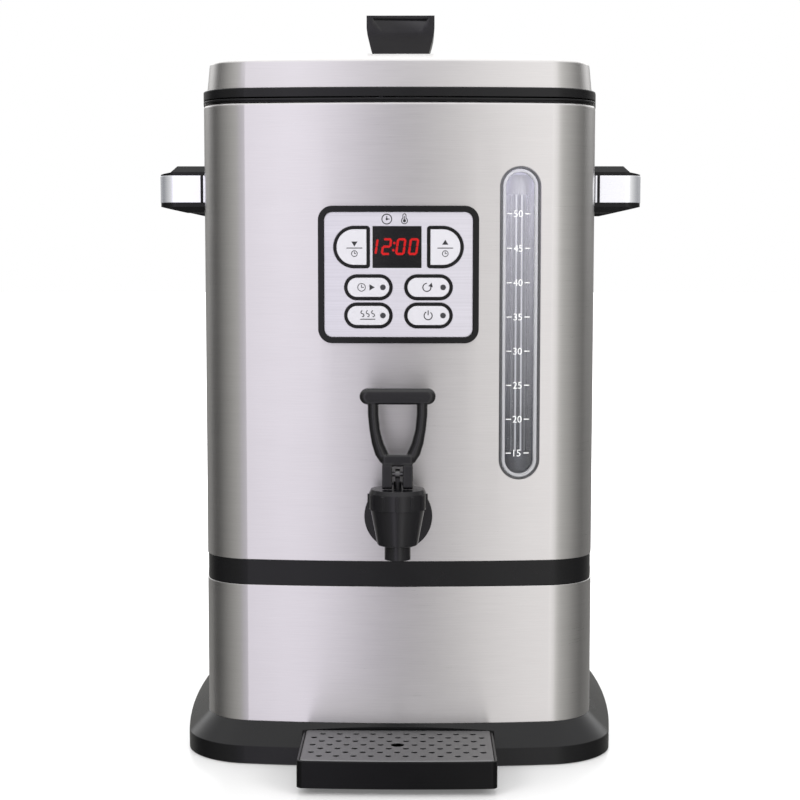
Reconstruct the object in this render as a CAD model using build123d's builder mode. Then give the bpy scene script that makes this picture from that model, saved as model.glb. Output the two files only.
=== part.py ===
from build123d import *
import os

# Percolating coffee urn with a squarish brushed-steel housing.
# Millimetres. Z is up and z = 0 is the table. The front faces -Y and the width runs along X.
# All sizes are measured from the housing's upright centre line, which stands at y = axis_y.

os.makedirs("parts", exist_ok=True)

# ---------------------------------------------------------------- overall sizes
body_w = 260.0          # housing width between the crowns of its bowed sides
body_d = 260.0          # housing depth between the crowns of its bowed sides
side_bow_r = 755.0      # radius of each gently bowed side
corner_r = 33.0         # radius of the upright corners
sheet = 0.8             # steel sheet of the shells, tank and lid
fit = 0.3               # gap between pieces that move past each other
snug = 0.1              # gap round a piece that is pushed into its seat

# levels, from the table up
foot_h = 2.2            # rubber foot, table to base plate
skirt_gap = 0.5         # table to the base's lower edge
base_wall_h = 11.2      # upright outer wall of the base
slope_h = 12.8          # sloping shoulder above that wall
skirt_h = 87.6          # lower steel skirt
band_h = 16.3           # black band between the shells
shell_h = 285.6         # upper steel shell
rim_h = 2.2             # black top rim, visible edge
lid_gap = 0.9           # shadow gap between top rim and lid rim
lid_rim_h = 5.7         # black lid rim
lid_wall_h = 17.3       # steel side wall of the lid
dome_h = 11.7           # rise of the domed lid top
knob_h = 29.5           # lid knob

base_low = skirt_gap
base_wall_top = base_low + base_wall_h
deck_z = base_wall_top + slope_h
band_low = deck_z + skirt_h
band_top = band_low + band_h
shell_top = band_top + shell_h
rim_top = shell_top + rim_h
lid_low = rim_top + lid_gap
lid_steel_low = lid_low + lid_rim_h
lid_edge_z = lid_steel_low + lid_wall_h
dome_top = lid_edge_z + dome_h

# base and drip tray
base_overhang = 13.0    # the base stands out past the housing
base_wall = 3.0
tray_w = 119.6
tray_reach = 58.0       # the tray stands out past the base
tray_low = 4.5          # table to the underside of the tray
tray_h = 16.4
tray_wall = 1.6
tray_bow_r = 900.0      # gentle bow of the tray front
notch_back = 1.7        # base notch ends this far in front of the housing
notch_gap = 0.6         # gap between tray and notch

# the drip tray is in front only, so the overall middle lies in front of the housing's middle
axis_y = tray_reach / 2

# tank
tank_r = 105.0
tank_floor_z = 132.0
tank_lip = 7.0
well_r = 20.0           # shallow well in the tank floor for the pump foot
well_depth = 3.0

front_y = -body_d / 2   # crown of the front face


def level(z):
    """Horizontal plane at height z, centred on the housing."""
    return Plane(origin=(0, axis_y, z), x_dir=(1, 0, 0), z_dir=(0, 0, 1))


def facing(y):
    """Upright plane that faces forwards, at distance y from the centre line. Local y is height."""
    return Plane(origin=(0, axis_y + y, 0), x_dir=(1, 0, 0), z_dir=(0, -1, 0))


def flank(x):
    """Upright plane that faces +X, at distance x from the centre line. Local x is depth."""
    return Plane(origin=(x, axis_y, 0), x_dir=(0, 1, 0), z_dir=(1, 0, 0))


def plan(inset=0.0, scale_by=1.0):
    """Bowed square outline of the housing, moved inwards by inset."""
    half_w = body_w / 2
    half_d = body_d / 2
    bow = side_bow_r - inset
    with BuildSketch(Plane.XY, mode=Mode.PRIVATE) as outline:
        with Locations((0, side_bow_r - half_d)):
            Circle(bow)
        with Locations((0, half_d - side_bow_r)):
            Circle(bow, mode=Mode.INTERSECT)
        with Locations((side_bow_r - half_w, 0)):
            Circle(bow, mode=Mode.INTERSECT)
        with Locations((half_w - side_bow_r, 0)):
            Circle(bow, mode=Mode.INTERSECT)
        corners = [v for v in outline.vertices() if abs(v.X) > half_w / 2 and abs(v.Y) > half_d / 2]
        fillet(corners, corner_r - inset)
    return outline.sketch_local.scale(scale_by) if scale_by != 1.0 else outline.sketch_local


def bow_drop(x):
    """How far the bowed front lies behind its crown at distance x from the middle."""
    return side_bow_r - (side_bow_r ** 2 - x ** 2) ** 0.5


def skin(outer, inner, low, high):
    """Wall between two outlines of the housing, for cutting pieces to the bow of its sides."""
    ring = plan(outer) - plan(inner)
    return extrude(Pos(0, axis_y, low) * ring, amount=high - low)


def block(inset, low, high):
    """Solid of the housing's outline."""
    return extrude(Pos(0, axis_y, low) * plan(inset), amount=high - low)


# ================================================================ base
foot_r = 9.0
foot_x = 84.0
foot_y = 86.0
boss_x = 98.0
boss_y = 98.0
boss_r = 5.0
base_screw_r = 1.6
plate_t = 1.5
plate_z = foot_h
stand_r = 66.0          # sheet-metal stand under the heater
stand_hole_r = 52.0     # wiring hole in the base deck
notch_y = front_y - notch_back
notch_w = tray_w + 2 * notch_gap
tongue_w = 60.0         # tray tongue that slides under the base
tongue_t = 3.0
tongue_l = 14.0
tongue_z = tray_low + 1.0
upstand_h = 6.0
upstand_t = 2.5

# inside of the base, with a guard wall kept round the tray notch
with BuildPart() as base_hollow:
    with BuildSketch(level(base_low)):
        add(plan(base_wall - base_overhang))
    extrude(amount=base_wall_h - 1.2)
    with BuildSketch(level(base_wall_top - 1.2)):
        add(plan(base_wall - base_overhang))
    with BuildSketch(level(deck_z - base_wall)):
        add(plan(base_wall))
    loft(ruled=True)
    with BuildSketch(level(base_low)):
        with Locations((0, notch_y - 50 + base_wall)):
            Rectangle(notch_w + 2 * base_wall, 100)
    extrude(amount=deck_z, mode=Mode.SUBTRACT)
    with BuildSketch(level(base_low)):
        with Locations((boss_x, boss_y), (-boss_x, boss_y), (boss_x, -boss_y), (-boss_x, -boss_y)):
            Circle(boss_r)
    extrude(amount=deck_z, mode=Mode.SUBTRACT)

# moulded base: upright wall, sloping shoulder, deck and an upstand inside the steel skirt
with BuildPart() as base_shell:
    with BuildSketch(level(base_low)):
        add(plan(-base_overhang))
    extrude(amount=base_wall_h)
    with BuildSketch(level(base_wall_top)):
        add(plan(-base_overhang))
    with BuildSketch(level(deck_z)):
        add(plan(0))
    loft(ruled=True)
    with BuildSketch(level(deck_z)):
        add(plan(sheet + snug))
        add(plan(sheet + snug + upstand_t), mode=Mode.SUBTRACT)
    extrude(amount=upstand_h)
    add(base_hollow.part, mode=Mode.SUBTRACT)
    with BuildSketch(level(deck_z - 2 * base_wall)):
        Circle(stand_hole_r)
    extrude(amount=4 * base_wall, mode=Mode.SUBTRACT)
    with BuildSketch(level(0)):
        with Locations((0, notch_y - 50)):
            Rectangle(notch_w, 100)
    extrude(amount=deck_z, mode=Mode.SUBTRACT)
    with BuildSketch(level(tongue_z - notch_gap)):
        with Locations((0, notch_y)):
            Rectangle(tongue_w + 2 * notch_gap, 4 * base_wall)
    extrude(amount=tongue_t + 2 * notch_gap, mode=Mode.SUBTRACT)
    with BuildSketch(level(base_low)):
        with Locations((boss_x, boss_y), (-boss_x, boss_y), (boss_x, -boss_y), (-boss_x, -boss_y)):
            Circle(boss_r + snug)
    extrude(amount=plate_z + plate_t - base_low, mode=Mode.SUBTRACT)
    with BuildSketch(level(base_low)):
        with Locations((boss_x, boss_y), (-boss_x, boss_y), (boss_x, -boss_y), (-boss_x, -boss_y)):
            Circle(base_screw_r)
    extrude(amount=15.0, mode=Mode.SUBTRACT)
base_shell.part.label = "base_shell"
export_step(base_shell.part, "parts/base_shell.step")

# sheet-steel plate that closes the base from below
with BuildPart() as base_plate:
    with BuildSketch(level(plate_z)):
        add(plan(base_wall - base_overhang + snug))
        with Locations((0, notch_y - 50 + base_wall)):
            Rectangle(notch_w + 2 * base_wall + 2 * snug, 100 + 2 * tongue_l, mode=Mode.SUBTRACT)
        with Locations((boss_x, boss_y), (-boss_x, boss_y), (boss_x, -boss_y), (-boss_x, -boss_y)):
            Circle(base_screw_r, mode=Mode.SUBTRACT)
        with Locations((foot_x, foot_y), (-foot_x, foot_y), (foot_x, -foot_y), (-foot_x, -foot_y)):
            Circle(foot_r / 3, mode=Mode.SUBTRACT)
        with GridLocations(14, 22, 7, 3):
            SlotOverall(16, 4, rotation=90, mode=Mode.SUBTRACT)
    extrude(amount=plate_t)
base_plate.part.label = "base_plate"
export_step(base_plate.part, "parts/base_plate.step")

# four rubber feet, each with a peg through the plate
with BuildPart() as feet:
    with BuildSketch(level(0)):
        with Locations((foot_x, foot_y), (-foot_x, foot_y), (foot_x, -foot_y), (-foot_x, -foot_y)):
            Circle(foot_r)
    extrude(amount=foot_h)
    with BuildSketch(level(foot_h)):
        with Locations((foot_x, foot_y), (-foot_x, foot_y), (foot_x, -foot_y), (-foot_x, -foot_y)):
            Circle(foot_r / 3)
    extrude(amount=plate_t + 1.0)
feet.part.label = "feet"
export_step(feet.part, "parts/feet.step")

# four screws up into the bosses of the base
with BuildPart() as base_screws:
    with BuildSketch(level(plate_z - 1.2)):
        with Locations((boss_x, boss_y), (-boss_x, boss_y), (boss_x, -boss_y), (-boss_x, -boss_y)):
            Circle(2 * base_screw_r)
    extrude(amount=1.2)
    with BuildSketch(level(plate_z)):
        with Locations((boss_x, boss_y), (-boss_x, boss_y), (boss_x, -boss_y), (-boss_x, -boss_y)):
            Circle(base_screw_r)
    extrude(amount=10.0)
base_screws.part.label = "base_screws"
export_step(base_screws.part, "parts/base_screws.step")

# ================================================================ power inlet
inlet_z = 62.0
inlet_w = 27.0
inlet_h = 20.0
inlet_depth = 17.0
inlet_flange = 2.0
inlet_border = 4.0

# inlet socket in the rear of the skirt, cut to the bow of the steel
inlet_cut = block(0, band_low - skirt_h, band_low)
with BuildPart() as power_inlet:
    with BuildSketch(facing(body_d / 2 + inlet_flange)):
        with Locations((0, inlet_z)):
            RectangleRounded(inlet_w + 2 * inlet_border, inlet_h + 2 * inlet_border, 3)
    extrude(amount=3 * inlet_flange)
    add(inlet_cut, mode=Mode.SUBTRACT)
    with BuildSketch(facing(body_d / 2)):
        with Locations((0, inlet_z)):
            RectangleRounded(inlet_w - 2 * snug, inlet_h - 2 * snug, 2)
    extrude(amount=inlet_depth + 2)
    with BuildSketch(facing(body_d / 2 + inlet_flange)):
        with Locations((0, inlet_z)):
            RectangleRounded(inlet_w - 3, inlet_h - 3, 3)
    extrude(amount=inlet_depth + inlet_flange, mode=Mode.SUBTRACT)
    with BuildSketch(facing(body_d / 2 - inlet_depth)):
        with Locations((-7, inlet_z - 2), (7, inlet_z - 2), (0, inlet_z + 2)):
            Rectangle(2, 4)
    extrude(amount=-10.0)
power_inlet.part.label = "power_inlet"
export_step(power_inlet.part, "parts/power_inlet.step")

# ================================================================ shells
# lower steel skirt between base and band
with BuildPart() as lower_skirt:
    with BuildSketch(level(deck_z)):
        add(plan(0))
        add(plan(sheet), mode=Mode.SUBTRACT)
    extrude(amount=skirt_h)
    with BuildSketch(facing(body_d / 2 + 2)):
        with Locations((0, inlet_z)):
            RectangleRounded(inlet_w, inlet_h, 2)
    extrude(amount=10, mode=Mode.SUBTRACT)
lower_skirt.part.label = "lower_skirt"
export_step(lower_skirt.part, "parts/lower_skirt.step")

# black band with a lip into each shell
band_inset = 0.5
with BuildPart() as mid_band:
    with BuildSketch(level(band_low)):
        add(plan(band_inset))
        add(plan(4), mode=Mode.SUBTRACT)
    extrude(amount=band_h)
    with BuildSketch(level(band_low - upstand_h)):
        add(plan(sheet + snug))
        add(plan(4), mode=Mode.SUBTRACT)
    extrude(amount=band_h + 2 * upstand_h)
mid_band.part.label = "mid_band"
export_step(mid_band.part, "parts/mid_band.step")

# control panel sizes, used by the shell, the panel and its buttons
panel_z = 307.8
panel_w = 99.6
panel_h = 84.8
panel_r = 8.8
panel_frame = 3.6       # visible width of the black frame
panel_proud = 2.2       # frame stands out past the steel
panel_box_wall = 1.5

# sight gauge sizes
gauge_x = 75.5
gauge_z = 277.2
gauge_w = 25.4
gauge_l = 194.9
gauge_depth = 23.0      # from the steel to the floor of its channel
gauge_wall = 2.0
gauge_tube_r = 5.5
gauge_port_r = 4.5
gauge_port_z = 86.0     # each port lies this far from the gauge's middle
gauge_y = front_y + bow_drop(gauge_x)

# tap sizes
tap_z = 157.5           # height of the shank
tap_reach = 36.0        # housing to the tap's upright axis
shank_r = 7.5
shoulder_r = 9.6       # thicker part of the shank, through the shell

# handle sizes
handle_z = 363.2
handle_reach = 30.0     # outside of the grip past the housing
handle_d = 104.0
handle_screw_r = 2.0
handle_screw_y = handle_d / 2 - 5.5
handle_screw_dz = 7.0

# upper steel shell with a rounded top edge turned inwards
with BuildPart() as upper_shell:
    with BuildSketch(level(band_top)):
        add(plan(0))
    extrude(amount=shell_h)
    fillet(upper_shell.faces().sort_by(Axis.Z)[-1].edges(), 2.0)
    with BuildSketch(level(band_top)):
        add(plan(sheet))
    extrude(amount=shell_h - sheet, mode=Mode.SUBTRACT)
    with BuildSketch(level(shell_top - 2 * sheet)):
        add(plan(9))
    extrude(amount=4 * sheet, mode=Mode.SUBTRACT)
    with BuildSketch(facing(0)):
        with Locations((0, panel_z)):
            RectangleRounded(panel_w - 4, panel_h - 4, panel_r - 2)
        with Locations((gauge_x, gauge_z)):
            SlotOverall(gauge_l, gauge_w, rotation=90)
        with Locations((0, tap_z)):
            Circle(shoulder_r + snug)
    extrude(amount=body_d, mode=Mode.SUBTRACT)
    with BuildSketch(flank(-body_w)):
        for side in (-1, 1):
            for rise in (-1, 1):
                with Locations((side * handle_screw_y, handle_z + rise * handle_screw_dz)):
                    Circle(handle_screw_r + snug)
    extrude(amount=2 * body_w, mode=Mode.SUBTRACT)
upper_shell.part.label = "upper_shell"
export_step(upper_shell.part, "parts/upper_shell.step")

# ================================================================ top rim, tank and heater
rim_proud = 0.2
rim_groove = 1.0
collar_h = 10.0

# black rim: shadow groove, proud edge, deck round the tank and a collar below it
with BuildPart() as top_rim:
    with BuildSketch(level(shell_top)):
        add(plan(2.0))
    extrude(amount=rim_groove)
    with BuildSketch(level(shell_top + rim_groove)):
        add(plan(-rim_proud))
    extrude(amount=rim_h - rim_groove)
    with BuildSketch(level(shell_top - 6.0)):
        add(plan(9 + snug))
        add(plan(11), mode=Mode.SUBTRACT)
    extrude(amount=6.0)
    with BuildSketch(level(shell_top - collar_h)):
        Circle(tank_r + sheet + 4)
    extrude(amount=collar_h)
    with BuildSketch(level(shell_top - collar_h)):
        Circle(tank_r + sheet + snug)
    extrude(amount=2 * collar_h, mode=Mode.SUBTRACT)
top_rim.part.label = "top_rim"
export_step(top_rim.part, "parts/top_rim.step")

# room inside the tank, with the shallow well
with BuildPart() as tank_room:
    with BuildSketch(level(tank_floor_z)):
        Circle(tank_r)
    extrude(amount=rim_top + 10 - tank_floor_z)
    fillet(tank_room.faces().sort_by(Axis.Z)[0].edges(), 5.0 - sheet)
    with BuildSketch(level(tank_floor_z - well_depth)):
        Circle(well_r)
    extrude(amount=well_depth)

# seamless steel tank, hung by its lip on the rim
with BuildPart() as tank:
    with BuildSketch(level(tank_floor_z - sheet)):
        Circle(tank_r + sheet)
    extrude(amount=rim_top + sheet - tank_floor_z + sheet)
    fillet(tank.faces().sort_by(Axis.Z)[0].edges(), 5.0)
    with BuildSketch(level(tank_floor_z - sheet - well_depth)):
        Circle(well_r + sheet)
    extrude(amount=well_depth + sheet)
    add(tank_room.part, mode=Mode.SUBTRACT)
    with BuildSketch(level(rim_top)):
        Circle(tank_r + tank_lip)
        Circle(tank_r, mode=Mode.SUBTRACT)
    extrude(amount=sheet)
    with BuildSketch(facing(0)):
        with Locations((0, tap_z)):
            Circle(shank_r + snug)
        with Locations((gauge_x, gauge_z - gauge_port_z), (gauge_x, gauge_z + gauge_port_z)):
            Circle(gauge_port_r + snug)
    extrude(amount=body_d, mode=Mode.SUBTRACT)
tank.part.label = "tank"
export_step(tank.part, "parts/tank.step")

# cast heater plate under the tank floor, with its ring element
heater_t = 8.0
heater_r = 70.0
element_r = 48.0
element_wire_r = 3.5
heater_low = tank_floor_z - sheet - heater_t
with BuildPart() as heater_plate:
    with BuildSketch(level(heater_low)):
        Circle(heater_r)
    extrude(amount=heater_t)
    with BuildSketch(level(heater_low + heater_t - well_depth)):
        Circle(well_r + sheet)
    extrude(amount=well_depth, mode=Mode.SUBTRACT)
heater_plate.part.label = "heater_plate"
export_step(heater_plate.part, "parts/heater_plate.step")

with BuildPart() as heater_element:
    with Locations((0, axis_y, heater_low - element_wire_r)):
        Torus(element_r, element_wire_r)
heater_element.part.label = "heater_element"
export_step(heater_element.part, "parts/heater_element.step")

# thermostat button pressed against the middle of the heater plate
with BuildPart() as thermostat:
    with BuildSketch(level(heater_low - 9)):
        Circle(9)
    extrude(amount=9)
    with BuildSketch(level(heater_low - 4)):
        SlotOverall(32, 12)
    extrude(amount=1.5)
    with BuildSketch(level(heater_low - 15)):
        with Locations((-4, 0), (4, 0)):
            Rectangle(1, 6)
    extrude(amount=6)
thermostat.part.label = "thermostat"
export_step(thermostat.part, "parts/thermostat.step")

# sheet-steel stand that carries the heater plate on the base deck
with BuildPart() as heater_stand:
    with BuildSketch(level(deck_z)):
        Circle(stand_r)
        Circle(stand_r - 1.2, mode=Mode.SUBTRACT)
    extrude(amount=heater_low - deck_z)
    with BuildSketch(level(deck_z)):
        Circle(stand_r + 8)
        Circle(stand_r - 1.2, mode=Mode.SUBTRACT)
    extrude(amount=1.2)
    with BuildSketch(facing(body_d / 2)):
        with Locations((0, deck_z + 25), (0, deck_z + 65)):
            SlotOverall(50, 14)
    extrude(amount=body_d, mode=Mode.SUBTRACT)
heater_stand.part.label = "heater_stand"
export_step(heater_stand.part, "parts/heater_stand.step")

# ================================================================ percolator
pump_r = 5.0
pump_wall = 0.8
pump_top = 392.0
pump_foot_r = 18.0
pump_foot_h = 12.0
basket_r = 72.0
basket_low = 296.0
basket_h = 72.0
basket_sheet = 0.8
basket_bush_r = pump_r + 2.0
pump_low = tank_floor_z - well_depth + fit

# room inside the bell foot
with BuildPart() as bell_room:
    with BuildSketch(level(pump_low - 1)):
        Circle(pump_foot_r - 1.0)
    with BuildSketch(level(pump_low + pump_foot_h - 1.5)):
        Circle(pump_r - pump_wall)
    loft(ruled=True)

# pump tube with a bell foot that stands in the tank's well
with BuildPart() as pump_tube:
    with BuildSketch(level(pump_low)):
        Circle(pump_foot_r)
    with BuildSketch(level(pump_low + pump_foot_h)):
        Circle(pump_r)
    loft(ruled=True)
    with BuildSketch(level(pump_low + pump_foot_h)):
        Circle(pump_r)
    extrude(amount=pump_top - pump_low - pump_foot_h)
    with BuildSketch(level(basket_low - 3)):
        Circle(pump_r + 4)
    extrude(amount=3)
    add(bell_room.part, mode=Mode.SUBTRACT)
    with BuildSketch(level(pump_low + 1)):
        Circle(pump_r - pump_wall)
    extrude(amount=pump_top - pump_low, mode=Mode.SUBTRACT)
pump_tube.part.label = "pump_tube"
export_step(pump_tube.part, "parts/pump_tube.step")

# filter basket on the tube's collar, perforated in its floor and wall
with BuildPart() as basket:
    with BuildSketch(level(basket_low)):
        Circle(basket_r)
    extrude(amount=basket_h)
    with BuildSketch(level(basket_low + basket_sheet)):
        Circle(basket_r - basket_sheet)
    extrude(amount=basket_h, mode=Mode.SUBTRACT)
    with BuildSketch(level(basket_low)):
        Circle(basket_bush_r)
    extrude(amount=basket_h - 2)
    with BuildSketch(level(basket_low + basket_h - 1)):
        Circle(basket_r + 3)
        Circle(basket_r - basket_sheet, mode=Mode.SUBTRACT)
    extrude(amount=1)
    with BuildSketch(level(basket_low - 1)):
        Circle(pump_r + snug)
    extrude(amount=basket_h + 2, mode=Mode.SUBTRACT)
    with BuildSketch(level(basket_low - 1)):
        for ring_r, count in ((20, 12), (32, 18), (44, 24), (56, 30)):
            with PolarLocations(ring_r, count):
                Circle(1.5)
    extrude(amount=3, mode=Mode.SUBTRACT)
basket.part.label = "basket"
export_step(basket.part, "parts/basket.step")

# spreader lid of the basket
spreader_z = basket_low + basket_h + 0.2
with BuildPart() as spreader:
    with BuildSketch(level(spreader_z)):
        Circle(basket_r + 3)
        Circle(pump_r + fit, mode=Mode.SUBTRACT)
        for ring_r, count in ((18, 10), (30, 16), (42, 22), (54, 28), (64, 34)):
            with PolarLocations(ring_r, count):
                Circle(1.4, mode=Mode.SUBTRACT)
    extrude(amount=basket_sheet)
    with BuildSketch(level(spreader_z)):
        Circle(pump_r + fit + 2.5)
        Circle(pump_r + fit, mode=Mode.SUBTRACT)
    extrude(amount=9)
spreader.part.label = "spreader"
export_step(spreader.part, "parts/spreader.step")

# ================================================================ lid
lid_inset_low = 2.3     # steel wall of the lid, at the rim
lid_inset_top = 4.0     # and at its top edge
lid_sheet = 0.8
lid_edge_r = 1.4        # outside radius of the lid's top edge
gasket_h = 3.0
gasket_w = 5.0

# black lid rim with a groove for the gasket
with BuildPart() as lid_rim:
    with BuildSketch(level(lid_low)):
        add(plan(-rim_proud))
        Circle(tank_r - 4, mode=Mode.SUBTRACT)
    extrude(amount=lid_rim_h)
    with BuildSketch(level(lid_low)):
        Circle(tank_r + 1 + gasket_w)
        Circle(tank_r + 1, mode=Mode.SUBTRACT)
    extrude(amount=gasket_h - 0.1, mode=Mode.SUBTRACT)
    fillet(lid_rim.edges().group_by(Axis.Z)[-1].sort_by(SortBy.LENGTH)[-4:], 0.8)
lid_rim.part.label = "lid_rim"
export_step(lid_rim.part, "parts/lid_rim.step")

# silicone ring that seals on the tank's lip
with BuildPart() as lid_gasket:
    with BuildSketch(level(rim_top + sheet)):
        Circle(tank_r + 1 + gasket_w)
        Circle(tank_r + 1, mode=Mode.SUBTRACT)
    extrude(amount=gasket_h)
lid_gasket.part.label = "lid_gasket"
export_step(lid_gasket.part, "parts/lid_gasket.step")


def lid_form(shrink):
    """Outside of the steel lid, or its inside when shrunk by the sheet."""
    low = lid_steel_low - (1.0 if shrink else 0.0)
    edge = lid_edge_z - shrink
    with BuildPart(mode=Mode.PRIVATE) as form:
        with BuildSketch(level(low)):
            add(plan(lid_inset_low + shrink))
        with BuildSketch(level(edge)):
            add(plan(lid_inset_top + shrink))
        loft(ruled=True)
        fillet(form.faces().sort_by(Axis.Z)[-1].edges(), lid_edge_r - shrink)
        with BuildSketch(level(edge)):
            add(plan(lid_inset_top + shrink, 0.955))
        with BuildSketch(level(edge + 0.46 * dome_h)):
            add(plan(lid_inset_top + shrink, 0.80))
        with BuildSketch(level(edge + 0.78 * dome_h)):
            add(plan(lid_inset_top + shrink, 0.55))
        with BuildSketch(level(edge + dome_h)):
            add(plan(lid_inset_top + shrink, 0.12))
        loft()
    return form.part


lid_outside = lid_form(0)
lid_inside = lid_form(lid_sheet)

# pressed steel lid cover: tapered wall and cushion dome
knob_screw_r = 2.5
with BuildPart() as lid_cover:
    add(lid_outside)
    add(lid_inside, mode=Mode.SUBTRACT)
    with BuildSketch(level(dome_top - 10)):
        Circle(knob_screw_r + snug)
    extrude(amount=20, mode=Mode.SUBTRACT)
lid_cover.part.label = "lid_cover"
export_step(lid_cover.part, "parts/lid_cover.step")

# flat inner lid with a pressed dish, on top of the rim
with BuildPart() as lid_liner:
    with BuildSketch(level(lid_steel_low)):
        Circle(tank_r + 8)
    extrude(amount=lid_sheet)
    with BuildSketch(level(lid_steel_low - lid_rim_h)):
        Circle(tank_r - 4 - snug)
    extrude(amount=lid_rim_h)
    with BuildSketch(level(lid_steel_low - lid_rim_h + lid_sheet)):
        Circle(tank_r - 4 - snug - lid_sheet)
    extrude(amount=lid_rim_h + lid_sheet, mode=Mode.SUBTRACT)
lid_liner.part.label = "lid_liner"
export_step(lid_liner.part, "parts/lid_liner.step")

# black knob with a tapered foot and a finger scoop front and back
knob_w = 45.8
knob_waist_w = 42.8
knob_foot_w = 36.8
knob_r = 7.0
knob_waist_h = 10.1
knob_taper_h = 17.2
knob_low = dome_top - 0.6
knob_top = knob_low + knob_h
scoop_top = knob_top - 2.9
scoop_h = 9.2
scoop_w = 33.4
scoop_foot_w = 21.5
scoop_depth = 5.2

# wedges of air under the fingers: level above, slanting outwards below
with BuildPart() as knob_scoops:
    with BuildSketch(flank(0)):
        for sign in (-1, 1):
            with BuildLine():
                Polyline(
                    (sign * (knob_w / 2 + 1), scoop_top),
                    (sign * (knob_w / 2 - scoop_depth), scoop_top),
                    (sign * knob_w / 2, scoop_top - scoop_h),
                    (sign * (knob_w / 2 + 1), scoop_top - scoop_h),
                    close=True,
                )
            make_face()
    extrude(amount=scoop_w / 2, both=True)
    with BuildSketch(facing(knob_w)):
        with BuildLine():
            Polyline(
                (-scoop_w / 2, scoop_top + 1),
                (-scoop_w / 2, scoop_top - 1.5),
                (-scoop_foot_w / 2, scoop_top - scoop_h),
                (scoop_foot_w / 2, scoop_top - scoop_h),
                (scoop_w / 2, scoop_top - 1.5),
                (scoop_w / 2, scoop_top + 1),
                close=True,
            )
        make_face()
    extrude(amount=2 * knob_w, mode=Mode.INTERSECT)

with BuildPart() as knob:
    with BuildSketch(level(knob_low)):
        RectangleRounded(knob_foot_w, knob_foot_w, knob_r)
    with BuildSketch(level(knob_low + knob_waist_h)):
        RectangleRounded(knob_waist_w, knob_waist_w, knob_r)
    with BuildSketch(level(knob_low + knob_taper_h)):
        RectangleRounded(knob_w, knob_w, knob_r)
    loft(ruled=True)
    with BuildSketch(level(knob_low + knob_taper_h)):
        RectangleRounded(knob_w, knob_w, knob_r)
    extrude(amount=knob_h - knob_taper_h)
    fillet(knob.faces().sort_by(Axis.Z)[-1].edges(), 0.8)
    add(knob_scoops.part, mode=Mode.SUBTRACT)
    with BuildSketch(level(knob_low)):
        Circle(knob_screw_r)
    extrude(amount=12, mode=Mode.SUBTRACT)
    add(lid_outside, mode=Mode.SUBTRACT)
knob.part.label = "knob"
export_step(knob.part, "parts/knob.step")

# screw and washer that hold the knob from inside the lid
with BuildPart() as knob_screw:
    with BuildSketch(level(dome_top - lid_sheet - 5.2)):
        Circle(5)
    extrude(amount=3)
    with BuildSketch(level(dome_top - lid_sheet - 2.2)):
        Circle(9)
    extrude(amount=2.2)
    with BuildSketch(level(dome_top - lid_sheet)):
        Circle(knob_screw_r)
    extrude(amount=10)
    add(lid_cover.part, mode=Mode.SUBTRACT)
knob_screw.part.label = "knob_screw"
export_step(knob_screw.part, "parts/knob_screw.step")

# ================================================================ side handles
handle_bar = 9.0        # thickness of the grip
handle_arm = 10.0       # thickness of each arm
handle_round = 11.0     # outside corner of the loop
handle_bevel = 4.0      # sloping edges along the front and rear arms
trim_h = 17.7
trim_t = 1.2
trim_proud = 0.3
trim_end = 1.0          # trim stops this far from the housing
trim_z = handle_z + 0.3
housing_block = block(0, handle_z - 30, handle_z + 30)


def handle_loop(offset, arm_in, side):
    """Plan of the loop, grown by offset; arm_in sinks its ends into the housing."""
    reach = body_w / 2 + handle_reach + offset
    inner = body_w / 2 - arm_in
    with BuildSketch(Plane.XY, mode=Mode.PRIVATE) as loop:
        with Locations((side * (reach + inner) / 2, 0)):
            Rectangle(reach - inner, handle_d + 2 * offset)
        outer = [v for v in loop.vertices() if abs(v.X) > inner + 1]
        fillet(outer, handle_round + offset)
    return loop.sketch_local


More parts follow.
